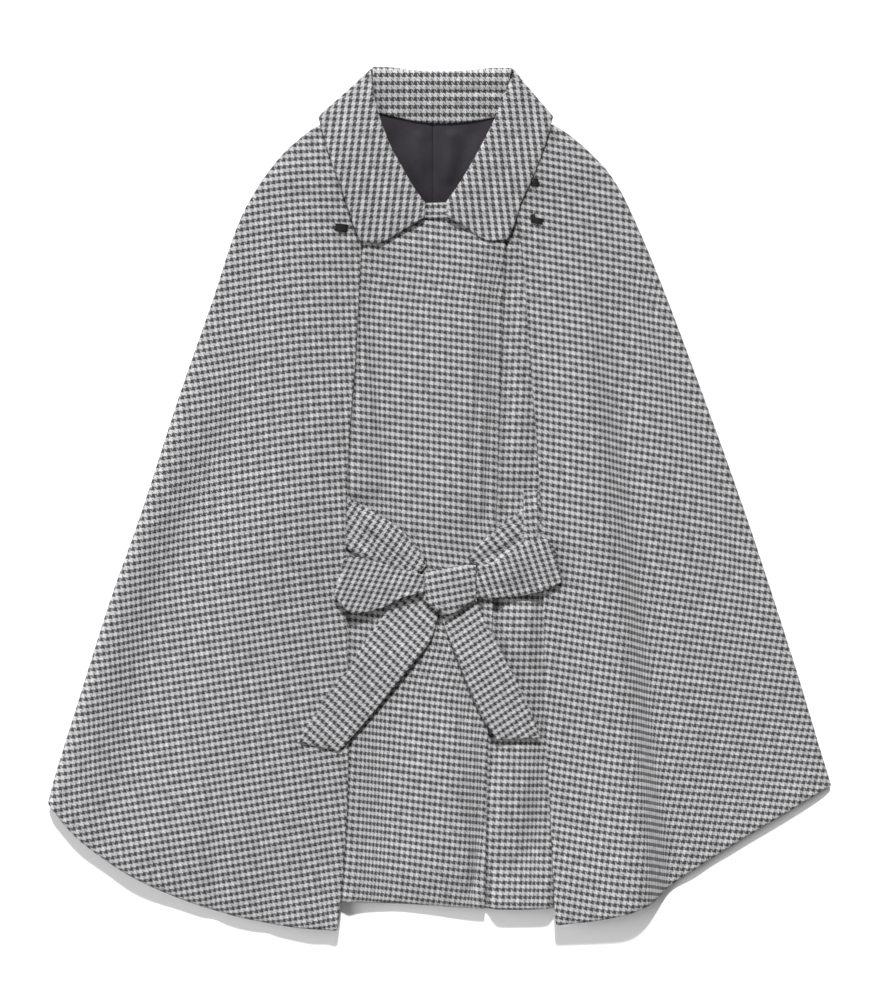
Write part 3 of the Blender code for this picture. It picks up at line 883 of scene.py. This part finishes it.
# Beside the cape's edge the coat stays under the cape's height this far out
EDGE_CLEAR = 3.0
# The line where the belt presses the front flat, columns: x, down
BELT_TOP = [(-100, 424), (-87, 434), (-50, 470), (-15, 496), (36, 496), (50, 486), (78, 468),
            (110, 440)]
# The cloth sinks toward the belt over this run
BELT_RUN = 70.0
# Above and below the belt the cloth stands up between its folds, columns: down, height
FRONT_RISE = [(150, 0.0), (160, 3.0), (184, 5.2), (240, 8.2), (300, 9.0), (400, 9.0), (500, 9.0)]
# Run of its climb from the first fold and of the roll at its edge
FRONT_CLIMB = 100.0
FRONT_ROLL = 25.0
# Below the belt: its height, where down and across it starts and ends, and its roll
LOW_RISE = 6.0
LOW_TOP = (610.0, 720.0)
LOW_FOOT = (845.0, 800.0)
LOW_CLIMB = (-90.0, 20.0)
LOW_ROLL = 28.0
# Beside the left cape front the coat is as high as the cape and then steps down,
# columns: down, height, where the step starts and ends, both from the cape's edge
LIP = [(160, 0.0, 3, 30), (178, 2.2, 3, 30), (215, 2.6, 3, 24), (242, 4.2, 4, 12), (274, 4.6, 6, 14),
       (304, 5.2, 9, 18), (334, 5.4, 16, 24), (364, 5.0, 22, 30), (394, 4.4, 27, 35),
       (424, 3.8, 30, 38), (440, 0.0, 30, 38), (640, 0.0, 3, 30), (664, 2.2, 3, 30),
       (705, 2.6, 3, 30), (843, 3.0, 3, 30)]
# It comes up this far from the cape's edge
LIP_START = (2.0, 6.0)
# The narrow strip, columns: down, height, x where it starts and ends to rise, and to fall
STRIP = [(200, 0.0, 60, 76, 80, 98), (270, 3.0, 60, 78, 80, 98), (395, 3.2, 60, 78, 80, 99),
         (425, 0.0, 60, 76, 80, 99), (520, 0.0, 60, 72, 84, 101), (550, 5.6, 60, 72, 86, 101),
         (580, 5.4, 60, 72, 88, 101), (604, 2.9, 60, 72, 91, 101), (690, 2.9, 54, 66, 92, 101),
         (740, 5.8, 46, 58, 74, 101), (843, 5.8, 46, 58, 74, 101)]
print("overlapping front stands up by", max(height for down, height in FRONT_RISE), "mm at most")

# %% Coat front threads
# Lean of the columns as on the cape, how much closer they lie, and the fall of the rows
OVER_LEAN = (0.0, [(0.05, 520, 640), (0.08, 780, 840)])
OVER_CLOSE = 1.04
OVER_ROW_FALL = 0.12
UNDER_LEAN = (0.04, [])
UNDER_ROW_FALL = 0.02


def over_threads(u, v, x, down):
    across = x * OVER_CLOSE + leaning(OVER_LEAN, down) + fold_taken(FOLDS_OVER, x, down)
    return across, down - OVER_ROW_FALL * x


def under_threads(u, v, x, down):
    return x + leaning(UNDER_LEAN, down) + fold_taken(FOLDS_UNDER, x, down), down - UNDER_ROW_FALL * x


print("threads of the coat fronts set")


# %% Coat front forms
def roll_off(distance, run):
    """Rises from an edge as a round roll, steepest at the edge itself."""
    return math.sin(math.pi / 2.0 * min(1.0, max(0.0, distance / run)))


def over_bulge(x, down, edge_x):
    """The overlapping front stands up level between its folds and rolls down at its edge."""
    foot = read(BELT_TOP, x)
    past = x - read(FOLDS_OVER[0][0], down)
    above = max(0.0, read(FRONT_RISE, down) - overlap_lift(x))
    above *= ease(foot, foot - BELT_RUN, down) * min(1.0, max(0.0, past / FRONT_CLIMB))
    above *= roll_off(edge_x - x, FRONT_ROLL)
    below = LOW_RISE * ease(*LOW_TOP, down) * ease(*LOW_FOOT, down)
    below *= ease(*LOW_CLIMB, x) * roll_off(edge_x - x, LOW_ROLL)
    from_cape = x - read(CAPE_EDGE, down)
    lip = read(LIP, down) * ease(*LIP_START, from_cape)
    lip *= ease(read(LIP, down, 3), read(LIP, down, 2), from_cape)
    return max(above + below, lip)


def strip_bulge(x, down):
    """The narrow strip beside it rises clear of that edge and falls away under the cape."""
    height, rise_from, rise_to, fall_from, fall_to = (read(STRIP, down, k) for k in range(1, 6))
    return height * ease(rise_from, rise_to, x) * ease(fall_to, fall_from, x)


print("forms of the coat fronts set")


# %% Make the coat fronts
def make_over():
    cape = laid(["cape_front_left"], UPWARD)

    def place(u, v):
        x, down = cut_place(FRONT_OVER, OVER_NECK, OVER_HEM, u, v)
        gape = EDGE_GAPE * ease(GAPE_FROM, 1.0, u) * math.exp(-((down - GAPE_DOWN) / GAPE_HALF)**2)
        stands = over_bulge(x, down, along(FRONT_OVER, v)[2]) + gape + ripple(x, down)
        loose = ease(*LOOSE, stands)
        stands += read(OVER_HEM_LIFT, x) * ease(FRONT_HEM_FROM, 1.0, v)
        z = over_z(x, down) + stands + loose * fold_depth(FOLDS_OVER, x, down)
        room = min(cape(x, down), cape(x - EDGE_CLEAR, down)) - CLOTH - LAYER_TOUCH
        return x, down, min(z, room)
    lay_cloth("coat_front_over", 84, 110, place, over_threads)


def make_under():
    def place(u, v):
        x, down = cut_place(FRONT_UNDER, UNDER_NECK, UNDER_HEM, u, v)
        lift = STRIP_LIFT * ease(*STRIP_LIFT_LEFT, x) * ease(*STRIP_LIFT_RIGHT, x)
        lift *= ease(FRONT_HEM_FROM, 1.0, v)
        return x, down, under_z(x, down) + max(strip_bulge(x, down), lift)
    lay_cloth("coat_front_under", 40, 110, place, under_threads)


make_over()
make_under()
print("coat fronts made")

# %% [markdown]
# ## The lining
# The dark lining of the back shows in the neck. It is cut in two halves with a seam down the middle.
# Each half dips into the seam, and a few slack folds run from the shoulders toward the point of the V.

# %% Make the lining
SEAM_X = -7.0
SEAM_DIP = 0.7
SEAM_HALF = 2.2
# columns: left_x, left_down, right_x, right_down
LINING_LEFT = [(-64, 45, SEAM_X, 50), (-58, 80, SEAM_X, 84), (-44, 120, SEAM_X, 128),
               (-32, 168, SEAM_X, 174)]
LINING_RIGHT = [(SEAM_X, 50, 60, 45), (SEAM_X, 84, 56, 80), (SEAM_X, 128, 38, 120),
                (SEAM_X, 174, 26, 168)]
# columns: path of (down, x), half width, depth at top, depth at foot, cloth taken at top, at foot
FOLDS_LINING = [
    ([(50, -46), (90, -34), (150, -14)], 7, -0.9, -0.7, 0, 0),
    ([(60, -22), (140, -18)], 6, 1.6, 1.0, 0, 0),
    ([(52, 38), (90, 24), (150, 2)], 8, -0.9, -0.7, 0, 0),
    ([(60, 12), (120, 8)], 7, 1.8, 1.2, 0, 0)]


def make_lining(node, sides):
    neck, hem = straight_ends(sides)

    def place(u, v):
        x, down = cut_place(sides, neck, hem, u, v)
        dip = SEAM_DIP * math.exp(-((x - SEAM_X) / SEAM_HALF)**2)
        z = CLOTH + SEAM_GAP + SEAM_DIP + lift_over(COLLAR_BELOW, x, down) - dip
        return x, down, z + fold_depth(FOLDS_LINING, x, down)
    lay_cloth(node, 30, 60, place, lambda u, v, x, down: (x, down), LINING)


make_lining("back_lining_left", LINING_LEFT)
make_lining("back_lining_right", LINING_RIGHT)
print("lining made in two halves")

# %% [markdown]
# ## The collar
# The fall of the collar is one sheet. It lies under the neck at the back, turns over at each side
# and comes down as a pointed leaf. The stand shows inside it at the back of the neck, and its front
# ends meet under the throat. The collar is cut across the cloth, so the wide rows of the pattern run
# down the leaves.

# %% Collar sizes
# columns: roll_x, roll_down, edge_x, edge_down, roll_z, edge_z, settled
FALL_LEFT = [
    (0, 5.6, 0, 84, 4.6, 1.1, 0.12), (-26, 5.0, -34, 84, 4.6, 1.1, 0.12),
    (-48, 2.4, -70, 82, 4.6, 1.1, 0.12), (-61, 1.0, -100, 73, 4.6, 1.35, 0.14),
    (-66.5, 1.2, -116, 57.5, 5.0, 1.55, 0.3), (-69, 4.0, -122, 52, 8.0, 7.4, 0.5),
    (-68.5, 8.0, -121, 55, 10.2, 9.6, 0.6), (-67, 22, -117, 68, 12.6, 10.4, 0.7),
    (-62, 46, -110, 92, 13.4, 13.0, 0.75), (-50, 79, -100, 119, 13.6, 13.2, 0.75),
    (-38, 101, -92, 142, 13.2, 12.4, 0.75), (-26, 122, -86, 161, 12.8, 11.6, 0.75),
    (-14, 138, -79, 177, 12.6, 10.4, 0.75)]
FALL_RIGHT = [
    (0, 5.6, 0, 84, 4.6, 1.1, 0.12), (26, 5.0, 34, 84, 4.6, 1.1, 0.12),
    (50, 3.2, 68, 82, 4.6, 1.1, 0.12), (64, 1.8, 95, 73, 4.6, 1.35, 0.14),
    (71.5, 2.4, 108, 57.5, 5.0, 1.55, 0.3), (74, 5.6, 113, 52, 8.0, 7.4, 0.5),
    (72, 10.0, 112, 55, 10.2, 9.0, 0.6), (67, 22, 109, 68, 12.6, 10.0, 0.7),
    (56, 50, 101, 92, 13.4, 11.8, 0.75), (43, 76, 91, 117, 13.6, 12.0, 0.75),
    (30, 100, 82, 136, 13.2, 10.9, 0.75), (17, 121, 75, 158, 13.0, 10.8, 0.75),
    (6, 136.5, 67, 175, 13.8, 10.8, 0.75)]
# The leaf's front edge swells out: how far, from which part of the length, and where across the leaf
LEAF_SWELL = 11.5
SWELL_FROM = 0.8
SWELL_IN = (0.0, 0.12)
SWELL_OUT = (1.0, 0.76)
# The roll is round at its edge where the leaf stands this high
ROLL_ROUND = 5.0
ROLL_DROP = 2.2
ROLL_HIGH = (8.0, 16.0)
# The front edge of the left leaf lies closer to the coat, over this part of its length and width
LEAF_DROP = 0.6
DROP_FROM = 0.93
DROP_IN = (0.25, 0.45)
DROP_OUT = (0.85, 0.7)
# Rows of the grid lie closer together near the roll
FALL_CLOSE = 1.7
# How the pattern lies on the fall: how wide the columns and how the rows lean
FALL_COLUMN_PITCH = 0.94
FALL_ROW_FALL = 0.12
# From this height up the leaf lies on the fronts
LEAF_LEAST = 9.0
print("collar leaf is", round(math.dist(FALL_LEFT[9][:2], FALL_LEFT[9][2:4])), "mm deep")


# %% Make the fall
def fall_place(rows, v, part):
    """A point of the fall, part 0 at its roll and 1 at its outer edge."""
    roll_x, roll_down, edge_x, edge_down, roll_z, edge_z, settled = along(rows, v)
    reach = Vector((edge_x - roll_x, edge_down - roll_down))
    run = reach.normalized()
    swell = LEAF_SWELL * ease(SWELL_FROM, 1.0, v) * ease(*SWELL_IN, part) * ease(*SWELL_OUT, part)
    x = mix(roll_x, edge_x, part) - math.copysign(swell * run.y, run.x)
    down = mix(roll_down, edge_down, part) + swell * abs(run.x)
    z = mix(roll_z, edge_z, ease(0.0, settled, part))
    roll = ROLL_DROP * ease(*ROLL_HIGH, roll_z) * (1.0 - ease(0.0, ROLL_ROUND, part * reach.length))
    near = LEAF_DROP * ease(DROP_FROM, 1.0, v) * ease(*DROP_IN, part) * ease(*DROP_OUT, part)
    return x, down, z - roll - (near if rows is FALL_LEFT else 0.0)


def make_fall():
    below = laid(FRONTS, DOWNWARD)

    def place(u, v):
        rows = FALL_LEFT if u < 0.5 else FALL_RIGHT
        x, down, z = fall_place(rows, abs(2.0 * u - 1.0), v**FALL_CLOSE)
        if z > LEAF_LEAST:
            z = max(z, below(x, down) + CLOTH / 2.0 + LAYER_TOUCH)
        return x, down, z

    def threads(u, v, x, down):
        return down * FALL_COLUMN_PITCH, abs(x) - FALL_ROW_FALL * down
    lay_cloth("collar_fall", 150, 22, place, threads, side=0.0)


make_fall()
print("fall of the collar made")

# %% Stand sizes
# columns: x, down
STAND_TOP = [(-67.5, 1.8), (-48, 2.4), (-26, 5.0), (0, 6.0), (26, 5.2), (50, 3.0), (72, 2.6)]
STAND_FOOT = [(-66, 47), (-44, 51), (-24, 55.5), (-4, 57.5), (18, 57), (38, 54.5), (62, 50)]
# Height from its top to its foot, columns: part, z
STAND_HEIGHT = [(0.0, 5.6), (0.05, 7.6), (0.12, 8.8), (0.25, 9.4), (0.5, 8.6), (1.0, 6.7)]
# Its front ends: their width, the part of the fall that they follow, and how far under the roll
STAND_WIDTH = 9.0
STAND_FIRST = 0.67
STAND_LAST = 0.97
STAND_UNDER_ROLL = 1.5 * CLOTH + LAYER_GAP
# Rows of the grid lie closer together near the top, and rows of the pattern a little wider
STAND_CLOSE = 1.8
STAND_ROW_PITCH = 0.89
# The strip at the throat, columns: left_x, left_down, right_x, right_down
THROAT = [(-26, 137.4, 18, 136.2), (-28, 145, 22, 145), (-30, 153, 26, 153)]
THROAT_CLOTH = 1.2
# Its rows close up low down: how much, and from where
THROAT_CLOSE = 0.6
THROAT_CLOSE_FROM = (146.0, 152.0)
# A crease crosses the right half of the stand
CREASE_DEPTH = 1.9
CREASE_DOWN = 26.0
CREASE_HALF = 2.6
CREASE_IN = (-30.0, 30.0)
# The ends of the stand dip under the roll, over this part of its length and depth
STAND_END_DIP = 1.0
STAND_END_FROM = 0.76
STAND_END_PART = (0.15, 0.9)
print("stand is", STAND_FOOT[3][1] - STAND_TOP[3][1], "mm deep at the back")


# %% Make the stand
def make_stand():
    def place(u, v):
        top, foot = along(STAND_TOP, u), along(STAND_FOOT, u)
        part = v**STAND_CLOSE
        x, down = mix(top[0], foot[0], part), mix(top[1], foot[1], part)
        crease = CREASE_DEPTH * math.exp(-((down - CREASE_DOWN) / CREASE_HALF)**2)
        crease *= ease(*CREASE_IN, x)
        dip = STAND_END_DIP * ease(STAND_END_FROM, 1.0, abs(2.0 * u - 1.0))
        dip *= ease(*STAND_END_PART, part)
        return x, down, read(STAND_HEIGHT, part) - dip - crease
    lay_cloth("collar_stand", 56, 26, place, lambda u, v, x, down: (x, down * STAND_ROW_PITCH))


def make_front_stand(node, rows):
    """A sloping strip under the roll, from just below the leaf to the neck of the coat front."""
    def place(u, v):
        t = mix(STAND_FIRST, STAND_LAST, v)
        roll_x, roll_down, edge_x, edge_down = along(rows, t)[:4]
        reach = Vector((edge_x - roll_x, edge_down - roll_down))
        inward = mix(1.0, STAND_WIDTH, 1.0 - u if rows is FALL_LEFT else u)
        x, down = Vector((roll_x, roll_down)) + reach.normalized() * inward
        top = fall_place(rows, t, inward / reach.length)[2] - STAND_UNDER_ROLL
        seat = over_z(x, down) + CLOTH + LAYER_GAP
        return x, down, mix(top, seat, ease(1.0, STAND_WIDTH, inward))
    lay_cloth(node, 8, 40, place, lambda u, v, x, down: (down, x))


def make_throat():
    neck, hem = straight_ends(THROAT)

    def place(u, v):
        x, down = cut_place(THROAT, neck, hem, u, v)
        return x, down, over_z(x, down) + CLOTH + SEAM_GAP

    def threads(u, v, x, down):
        return x, down + THROAT_CLOSE * bend(*THROAT_CLOSE_FROM, down)
    lay_cloth("collar_stand_front", 30, 14, place, threads, THROAT_CLOTH)


make_stand()
make_front_stand("collar_stand_left", FALL_LEFT)
make_front_stand("collar_stand_right", FALL_RIGHT)
make_throat()
print("stand made in four pieces")

# %% [markdown]
# ## The belt
# The belt comes out from under the cape on both sides and is tied in a bow. It is one doubled strip,
# so each stretch of it is a thicker, firmer sheet, and the weave follows its length. On the right it
# runs through a narrow carrier.

# %% Belt bands
# columns: x, down, z, width
BAND_LEFT = [(-152, 433, 5.2, 44), (-120, 442, 5.2, 45), (-90, 458, 5.2, 45), (-72, 469, 6.6, 45),
             (-55, 479, 7.2, 44), (-34, 495, 7.0, 34), (-20, 507, 6.8, 20)]
BAND_RIGHT = [(156, 438, 5.2, 44), (128, 449, 5.2, 45), (104, 457, 5.2, 42), (80, 465, 6.2, 33),
              (56, 482, 8.2, 28), (36, 500, 8.0, 24)]
CARRIER = [(90.5, 424, 5.4, 14), (90.5, 430, 5.8, 14), (90.5, 438, 7.8, 14), (90.5, 452, 8.3, 14),
           (90.5, 478, 8.9, 14), (90.5, 492, 8.6, 14), (90.5, 500, 6.2, 14), (90.5, 508, 5.4, 14)]
# A short part of the length, to find which way a strip runs
RUN_STEP = 0.01
# The creases of the belt, columns: start_x, start_down, end_x, end_down, half width, depth
BAND_CREASES = [(-88, 439, -62, 484, 3.4, -2.8), (-94, 491, -48, 504, 6.0, -4.4),
                (-84, 445, -26, 503, 7.0, 2.6), (-68, 468, -30, 500, 3.4, -2.6),
                (-86, 470, -52, 494, 3.4, -2.4), (42, 498, 86, 471, 5.0, -2.6),
                (82, 446, 82, 478, 2.4, -1.5), (99, 444, 99, 474, 2.4, -1.5)]


def make_strip(node, rows, columns, steps, threads, thick=BELT):
    below = laid(["coat_front_over", "coat_front_under"], DOWNWARD)

    def place(u, v):
        x, down, z, width = along(rows, v)
        ahead, behind = along(rows, v + RUN_STEP), along(rows, v - RUN_STEP)
        run = Vector((ahead[0] - behind[0], ahead[1] - behind[1])).normalized()
        across = (0.5 - u) * width
        x, down = x - run.y * across, down + run.x * across
        z += crease_depth(BAND_CREASES, x, down) if thick == BELT else 0.0
        return x, down, max(z, below(x, down) + LAYER_TOUCH)
    lay_cloth(node, columns, steps, place, threads, thick)


# The four numbers of slanted: pitch and lean of the rows, pitch and lean of the columns
make_strip("belt_band_left", BAND_LEFT, 26, 84, slanted(6.7, 32, 5.4, -49))
make_strip("belt_band_right", BAND_RIGHT, 26, 80, slanted(7.0, -40, 5.7, 53))
make_strip("belt_carrier", CARRIER, 8, 40, slanted(6.9, 86, 5.7, -4), CARRIER_CLOTH)
print("belt bands and carrier made")

# %% [markdown]
# ### The bow
# Two tails hang from the knot, two loops stand out from it, and the knot is a short stretch of belt
# wrapped round them. A loop is a strip that runs out, turns at its end and comes back below itself.

# %% Bow tails
# columns: left_x, left_down, right_x, right_down
TAIL_LEFT = [(-27, 518, -3, 530), (-42, 530, -2, 550), (-58, 552, -9, 574), (-76, 578, -24, 594),
             (-95, 606, -44, 619), (-115, 632, -66, 646), (-143, 676, -101, 686)]
TAIL_RIGHT = [(4, 530, 27, 520), (2, 550, 38, 536), (8, 570, 47, 560), (19, 596, 62, 588),
              (30, 624, 77, 617), (42, 650, 90, 644), (57, 674, 101, 672)]
# columns: down, left_rise, right_rise
TAIL_RISE = [(524, 0.6, 0.0), (560, 0.4, 0.4), (578, 2.0, 1.8), (592, 3.6, 2.8), (640, 3.6, 2.8),
             (684, 3.4, 1.4)]
# The left tail lies lower on the coat than on the cape: its share there, and the x between them
TAIL_LOW = 0.7
TAIL_LOW_X = (-68.0, -90.0)
# columns: start_x, start_down, end_x, end_down, half width, depth
TAIL_CREASES = [(-14, 524, -40, 556, 3.0, -0.8), (-24, 520, -52, 546, 3.0, -0.6),
                (14, 524, 26, 560, 3.0, -0.7), (38, 532, 47, 576, 8.0, -1.8)]


def make_tail(node, rows, column, threads):
    neck, hem = straight_ends(rows)
    below = laid(FRONTS, DOWNWARD)

    def place(u, v):
        x, down = cut_place(rows, neck, hem, u, v)
        rise = read(TAIL_RISE, down, column)
        rise *= mix(TAIL_LOW, 1.0, ease(*TAIL_LOW_X, x)) if column == 1 else 1.0
        z = over_z(x, down) + CLOTH + LAYER_GAP + rise + crease_depth(TAIL_CREASES, x, down)
        return x, down, max(z, below(x, down) + LAYER_TOUCH)
    lay_cloth(node, 18, 60, place, threads, BELT)


make_tail("bow_tail_left", TAIL_LEFT, 1, slanted(7.1, -47, 5.2, 37))
make_tail("bow_tail_right", TAIL_RIGHT, 2, slanted(6.7, 57, 5.2, -28))
print("tails made")

# %% Loop and knot sizes
# columns: upper_x, upper_down, upper_z, lower_x, lower_down, lower_z
LOOP_LEFT = [(-15.5, 509, 12.2, -15.5, 526, 12.2), (-37, 503, 11.6, -38, 532, 11.8),
             (-60, 497, 10.8, -60, 543, 9.0), (-82, 491, 11.4, -88, 547, 11.6),
             (-95, 492, 12.9, -105, 531, 12.2)]
LOOP_RIGHT = [(36.5, 501, 12.8, 36.5, 531, 12.8), (58, 494, 13.5, 57, 532, 11.4),
              (80, 481, 13.2, 82, 530, 9.2), (100, 471, 12.9, 106, 524, 11.6),
              (112, 478, 12.9, 122, 516, 11.6)]
# Half the room inside a loop, out along it and at the knot, and how far out it is reached
LOOP_HALF = 1.6
LOOP_HALF_AT_KNOT = 1.5
LOOP_FULL_AT = 0.5
# How much less it is at the lower edge, and the part of the width from which that edge droops
LOOP_TAPER = 0.2
LOOP_DROOP_FROM = 0.3
# Share of the loop's cloth that lies in the turn at its end, and how much of the reach it takes
LOOP_TURN = 0.28
LOOP_TURN_REACH = 0.035
# columns: x, down, half_down, half_z, z
KNOT = [(-15, 520, 15, 2.4, 13.0), (-4, 523, 20, 3.0, 13.5), (10, 525, 24, 3.2, 13.7),
        (24, 520, 21, 3.0, 13.3), (36, 516, 17, 2.4, 12.4)]
# Thickness of the wrap, how flat its top is, and how its columns and rows lean
KNOT_CLOTH = 1.4
KNOT_FLAT = 1.0
KNOT_COLUMN_LEAN = 0.14
KNOT_ROW_RISE = 0.19
# Creases fade out where the cloth turns under
TURN_UNDER = (0.0, 0.6)
# columns: start_x, start_down, end_x, end_down, half width, depth
LOOP_CREASES = [(-16, 514, -50, 508, 2.2, -0.9), (-16, 521, -48, 528, 2.4, -0.9),
                (37, 510, 70, 503, 2.4, -0.9), (37, 522, 72, 521, 2.6, -0.8)]
KNOT_CREASES = [(-12, 527, 30, 513, 3.0, -0.7), (-6, 537, 34, 523, 3.0, -0.7)]
print("bow is", LOOP_RIGHT[-1][3] - LOOP_LEFT[-1][3], "mm wide")


# %% Make the loops and the knot
def loop_run(v):
    """How far a loop reaches out at v, and whether it is above (1) or below (-1) its middle."""
    turn = math.pi * min(1.0, max(0.0, (v - 0.5) / LOOP_TURN + 0.5))
    straight = min(1.0, min(v, 1.0 - v) / (0.5 - LOOP_TURN / 2))
    return straight * (1.0 - LOOP_TURN_REACH) + math.sin(turn) * LOOP_TURN_REACH, math.cos(turn)


def make_loop(node, rows, upper_threads):
    turn_x = rows[-1][0]

    def place(u, v):
        reach, rise = loop_run(v)
        row = along(rows, reach)
        x, down = mix(row[0], row[3], u), mix(row[1], row[4], u)
        z = mix(row[2], row[5], ease(LOOP_DROOP_FROM, 1.0, u))
        out = ease(0.0, LOOP_FULL_AT, reach)
        half = mix(LOOP_HALF_AT_KNOT, LOOP_HALF, out) * (1.0 - LOOP_TAPER * out * u)
        crease = crease_depth(LOOP_CREASES, x, down) * ease(*TURN_UNDER, rise)
        return x, down, z + half * rise + crease

    def threads(u, v, x, down):
        return upper_threads(u, v, x if v < 0.5 else 2.0 * turn_x - x, down)
    lay_cloth(node, 20, 80, place, threads, BELT, side=0.0)


def make_knot():
    def place(u, v):
        x, down, half_down, half_z, z = along(KNOT, v)
        angle = 2.0 * math.pi * u
        side = 2.0 * ease(-KNOT_FLAT, KNOT_FLAT, math.cos(angle)) - 1.0
        across = (half_down - half_z) * side + half_z * math.cos(angle)
        rise = math.sin(angle)
        crease = crease_depth(KNOT_CREASES, x, down + across) * ease(*TURN_UNDER, rise)
        return x, down + across, z + half_z * rise + crease

    def threads(u, v, x, down):
        middle, half_down = along(KNOT, v)[1:3]
        below = 2.0 * (middle + math.copysign(half_down, 0.5 - abs(2.0 * u - 1.0))) - down
        return x - KNOT_COLUMN_LEAN * down, (down if u <= 0.5 else below) + KNOT_ROW_RISE * x
    lay_cloth("bow_knot", 60, 24, place, threads, KNOT_CLOTH, side=-1.0, ring=True)


make_loop("bow_loop_left", LOOP_LEFT, slanted(6.0, 24, 5.4, -83))
make_loop("bow_loop_right", LOOP_RIGHT, slanted(6.4, -18, 5.5, 77))
make_knot()
print("bow made;", len(pieces), "pieces of cloth in all")

# %% [markdown]
# ## The sewing
# Short tacks of black thread hold the collar and the cape fronts down. Each is a few stitches side by
# side. A stitch is a thin rod bent into a low arch that goes into the cloth at both ends.

# %% Make the tacks
# Thickness of a stitch
THREAD = 1.9
# columns: x, down, length, turn in degrees, stitches, step between them
TACKS = [(-98.5, 162, 17, 6, 6, 1.3), (95.0, 118.4, 11, 4, 4, 1.2), (95.5, 115.0, 7, 4, 3, 1.2),
         (93.0, 152.5, 11, 82, 4, 1.2), (97.5, 155, 14, 10, 5, 1.1)]
# Every second stitch is shorter; the rest are parts of the thread's thickness
STITCH_SHORTER = 0.16
STITCH_ARCH = 0.35
STITCH_DIVE = 0.6


def make_tacks():
    below = laid(["cape_front_left", "cape_front_right", "collar_fall"], DOWNWARD)
    bm = bmesh.new()
    for x, down, length, turn, count, step in TACKS:
        run = Vector((math.cos(math.radians(turn)), math.sin(math.radians(turn))))
        aside = Vector((-run.y, run.x))
        for k in range(count):
            start = Vector((x, down)) + aside * (k - (count - 1) / 2.0) * step
            half = length / 2.0 * (1.0 - STITCH_SHORTER * (k % 2))
            rod = bmesh.ops.create_uvsphere(bm, u_segments=10, v_segments=12, radius=1.0)
            for vert in rod["verts"]:
                middle = start + run * half * vert.co.z
                place = middle + aside * vert.co.x * THREAD / 2
                rise = THREAD * (STITCH_ARCH - vert.co.z**2 * STITCH_DIVE + vert.co.y / 2)
                vert.co = at(*place, below(*middle) + rise)
    bmesh.ops.recalc_face_normals(bm, faces=bm.faces)
    tacks = add_mesh("thread_tacks", bm, BLACK_THREAD)
    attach(tacks, "root")


make_tacks()
print("tacks sewn in", len(TACKS), "places")
